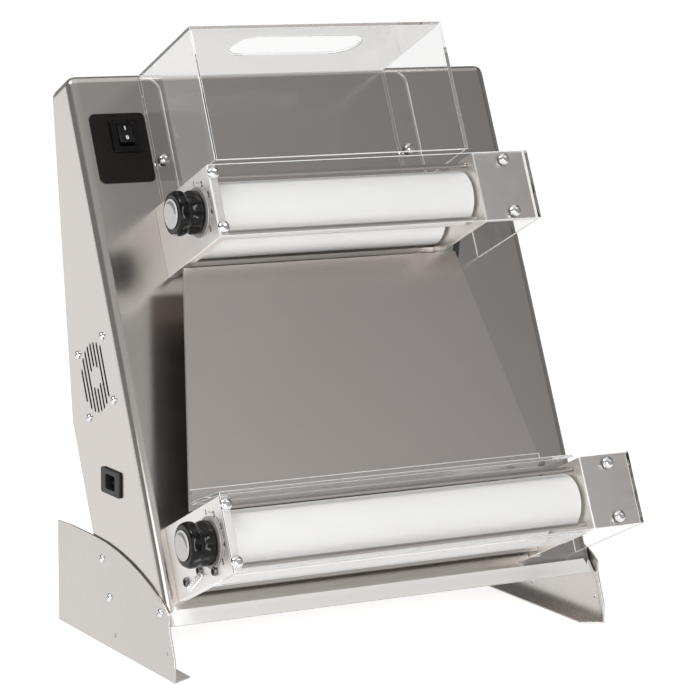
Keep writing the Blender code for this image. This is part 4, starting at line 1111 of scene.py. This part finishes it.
# ---------------------------------------------------------------- studio
@dataclass
class Studio:
    """Floor, world, lamps and camera."""

    floor_size: float = 80.0
    floor_glow: float = 0.66
    floor_shine: float = 1.05
    floor_fade: Point = (0.6, 2.5)
    sky: tuple[Point, ...] = ((0.0, 1.0), (0.26, 0.86), (0.47, 0.64), (0.56, 0.45), (0.72, 0.34), (0.83, 0.85),
                              (1.0, 0.85))
    right_side: float = 0.3
    right_fade: Point = (0.38, 0.64)
    far_side: float = 0.3
    far_fade: Point = (0.30, 0.75)
    left_side: float = 0.25
    left_fade: Point = (-0.90, -0.58)
    aim: tuple[float, float, float] = (0.0, 0.0, 0.33)
    lens: float = 145.9
    yaw: float = 28.798
    pitch: float = 8.898
    roll: float = 0.182
    stand: Point = (-1.4835, -2.6032)
    eye_height: float = 0.7980

    def build(self) -> None:
        """Builds the whole studio."""
        bpy.context.scene.view_settings.view_transform = "Standard"
        self.floor()
        self.world()
        self.lamps()
        self.camera()

    def floor(self) -> None:
        """A wide pale floor that shows white, keeps the shadow and looks white in polished metal."""
        half = self.floor_size / 2
        loop = rounded_loop((-half, -half), (half, half), 1.0)
        ground = object_of("studio_floor", flat_shape(loop, -0.02, 0.0))
        made = bpy.data.materials.new("studio_floor")
        made.use_nodes = True
        build = Tree(made.node_tree)
        shader = made.node_tree.nodes["Principled BSDF"]
        build.feed(shader, {"Base Color": (0.80, 0.80, 0.80, 1.0), "Roughness": 0.9, "Specular IOR Level": 0.0})
        seen = build.rays("MAXIMUM", "Is Camera Ray", "Is Transmission Ray")
        glow = build.add("ShaderNodeEmission", {"Strength": build.combine("MULTIPLY", seen, self.floor_glow)})
        both = build.add("ShaderNodeAddShader", {0: shader.outputs["BSDF"], 1: glow.outputs["Emission"]})
        levels = (self.floor_shine, self.floor_shine * self.right_side)
        strength = build.fade(build.parts("Object")["X"], self.floor_fade, levels)
        shine = build.add("ShaderNodeEmission", {"Strength": strength})
        mirrored = build.rays("SUBTRACT", "Is Glossy Ray", "Is Transmission Ray")
        mix = build.add("ShaderNodeMixShader", {0: mirrored, 1: both.outputs["Shader"], 2: shine.outputs["Emission"]})
        build.feed(made.node_tree.nodes["Material Output"], {"Surface": mix.outputs["Shader"]})
        ground.data.materials.append(made)

    def world(self) -> None:
        """A surround that is light at the horizon, dimmer above and to the sides, and white to the camera."""
        world = bpy.data.worlds.new("studio")
        bpy.context.scene.world = world
        world.use_nodes = True
        build = Tree(world.node_tree)
        x, y, z = build.parts("Generated")
        ramp = build.add("ShaderNodeValToRGB", {"Fac": z})
        while len(ramp.color_ramp.elements) < len(self.sky):
            ramp.color_ramp.elements.new(0.5)
        for element, (height, level) in zip(ramp.color_ramp.elements, self.sky):
            element.position = height
            element.color = (level, level * 0.995, level * 0.985, 1.0)
        right = build.fade(x, self.right_fade, (1.0, self.right_side))
        far = build.fade(y, self.far_fade, (1.0, self.far_side))
        left = build.fade(x, self.left_fade, (self.left_side, 1.0))
        strength = build.combine("MULTIPLY", build.combine("MULTIPLY", right, far), left)
        around = world.node_tree.nodes["Background"]
        build.feed(around, {"Color": ramp.outputs["Color"], "Strength": strength})
        white = build.add("ShaderNodeBackground", {"Color": (1.0, 1.0, 1.0, 1.0)})
        seen = build.rays("MAXIMUM", "Is Camera Ray", "Is Transmission Ray")
        mix = build.add("ShaderNodeMixShader",
                        {0: seen, 1: around.outputs["Background"], 2: white.outputs["Background"]})
        build.feed(world.node_tree.nodes["World Output"], {"Surface": mix.outputs["Shader"]})

    def lamp(self, name: str, place: tuple[float, float, float], size: float, power: float) -> None:
        """A square soft lamp aimed at the machine's middle."""
        data = bpy.data.lights.new(name, "AREA")
        data.size = size
        data.energy = power
        lamp = bpy.data.objects.new(name, data)
        lamp.location = place
        ahead = Vector(self.aim) - Vector(place)
        lamp.rotation_euler = ahead.to_track_quat("-Z", "Y").to_euler()
        bpy.context.scene.collection.objects.link(lamp)

    def lamps(self) -> None:
        """Soft lamps high on the left, in front and low by the left fold."""
        self.lamp("key", (-2.2, 0.2, 2.8), 1.2, 40.0)
        self.lamp("front", (-0.7, -3.4, 0.9), 1.6, 64.0)
        self.lamp("low", (-0.94, -0.465, 0.395), 0.35, 0.8)

    def camera(self) -> None:
        """The camera in front and to the left, a little above the machine."""
        data = bpy.data.cameras.new("camera")
        data.lens = self.lens
        data.sensor_width = 36.0
        data.clip_end = 200.0
        camera = bpy.data.objects.new("camera", data)
        yaw, pitch, roll = (math.radians(angle) for angle in (self.yaw, self.pitch, self.roll))
        ahead = Vector((math.sin(yaw) * math.cos(pitch), math.cos(yaw) * math.cos(pitch), -math.sin(pitch)))
        level = Vector((math.cos(yaw), -math.sin(yaw), 0.0))
        above = level.cross(ahead)
        right = level * math.cos(roll) + above * math.sin(roll)
        up = above * math.cos(roll) - level * math.sin(roll)
        turn = Matrix((right, up, -ahead)).transposed().to_4x4()
        place = Vector((PANEL.origin.x + self.stand[0], PANEL.origin.y + self.stand[1], self.eye_height))
        camera.matrix_world = Matrix.Translation(place) @ turn
        bpy.context.scene.collection.objects.link(camera)
        bpy.context.scene.camera = camera


def main() -> None:
    """Builds the machine piece by piece, then the studio."""
    logging.basicConfig(level=logging.INFO, format="%(message)s")
    pattern = ScrewHead()
    head = pattern.build()
    large = ScrewSet("front_screws")
    small = ScrewSet("side_screws")
    SheetBody().build(small)
    RollerUnit("upper").build(large)
    RollerUnit("lower").build(large)
    ClearCovers().build(large)
    Controls().build()
    PlateHardware().build()
    Inside().build()
    seats = tuple(f"{side}_foot_screw_{number}" for side in ("left", "right") for number in (1, 2, 3))
    large.build(head, pattern.radius)
    small.build(head, pattern.radius, seats)
    bpy.data.objects.remove(head)
    Studio().build()


if __name__ == "__main__":
    main()
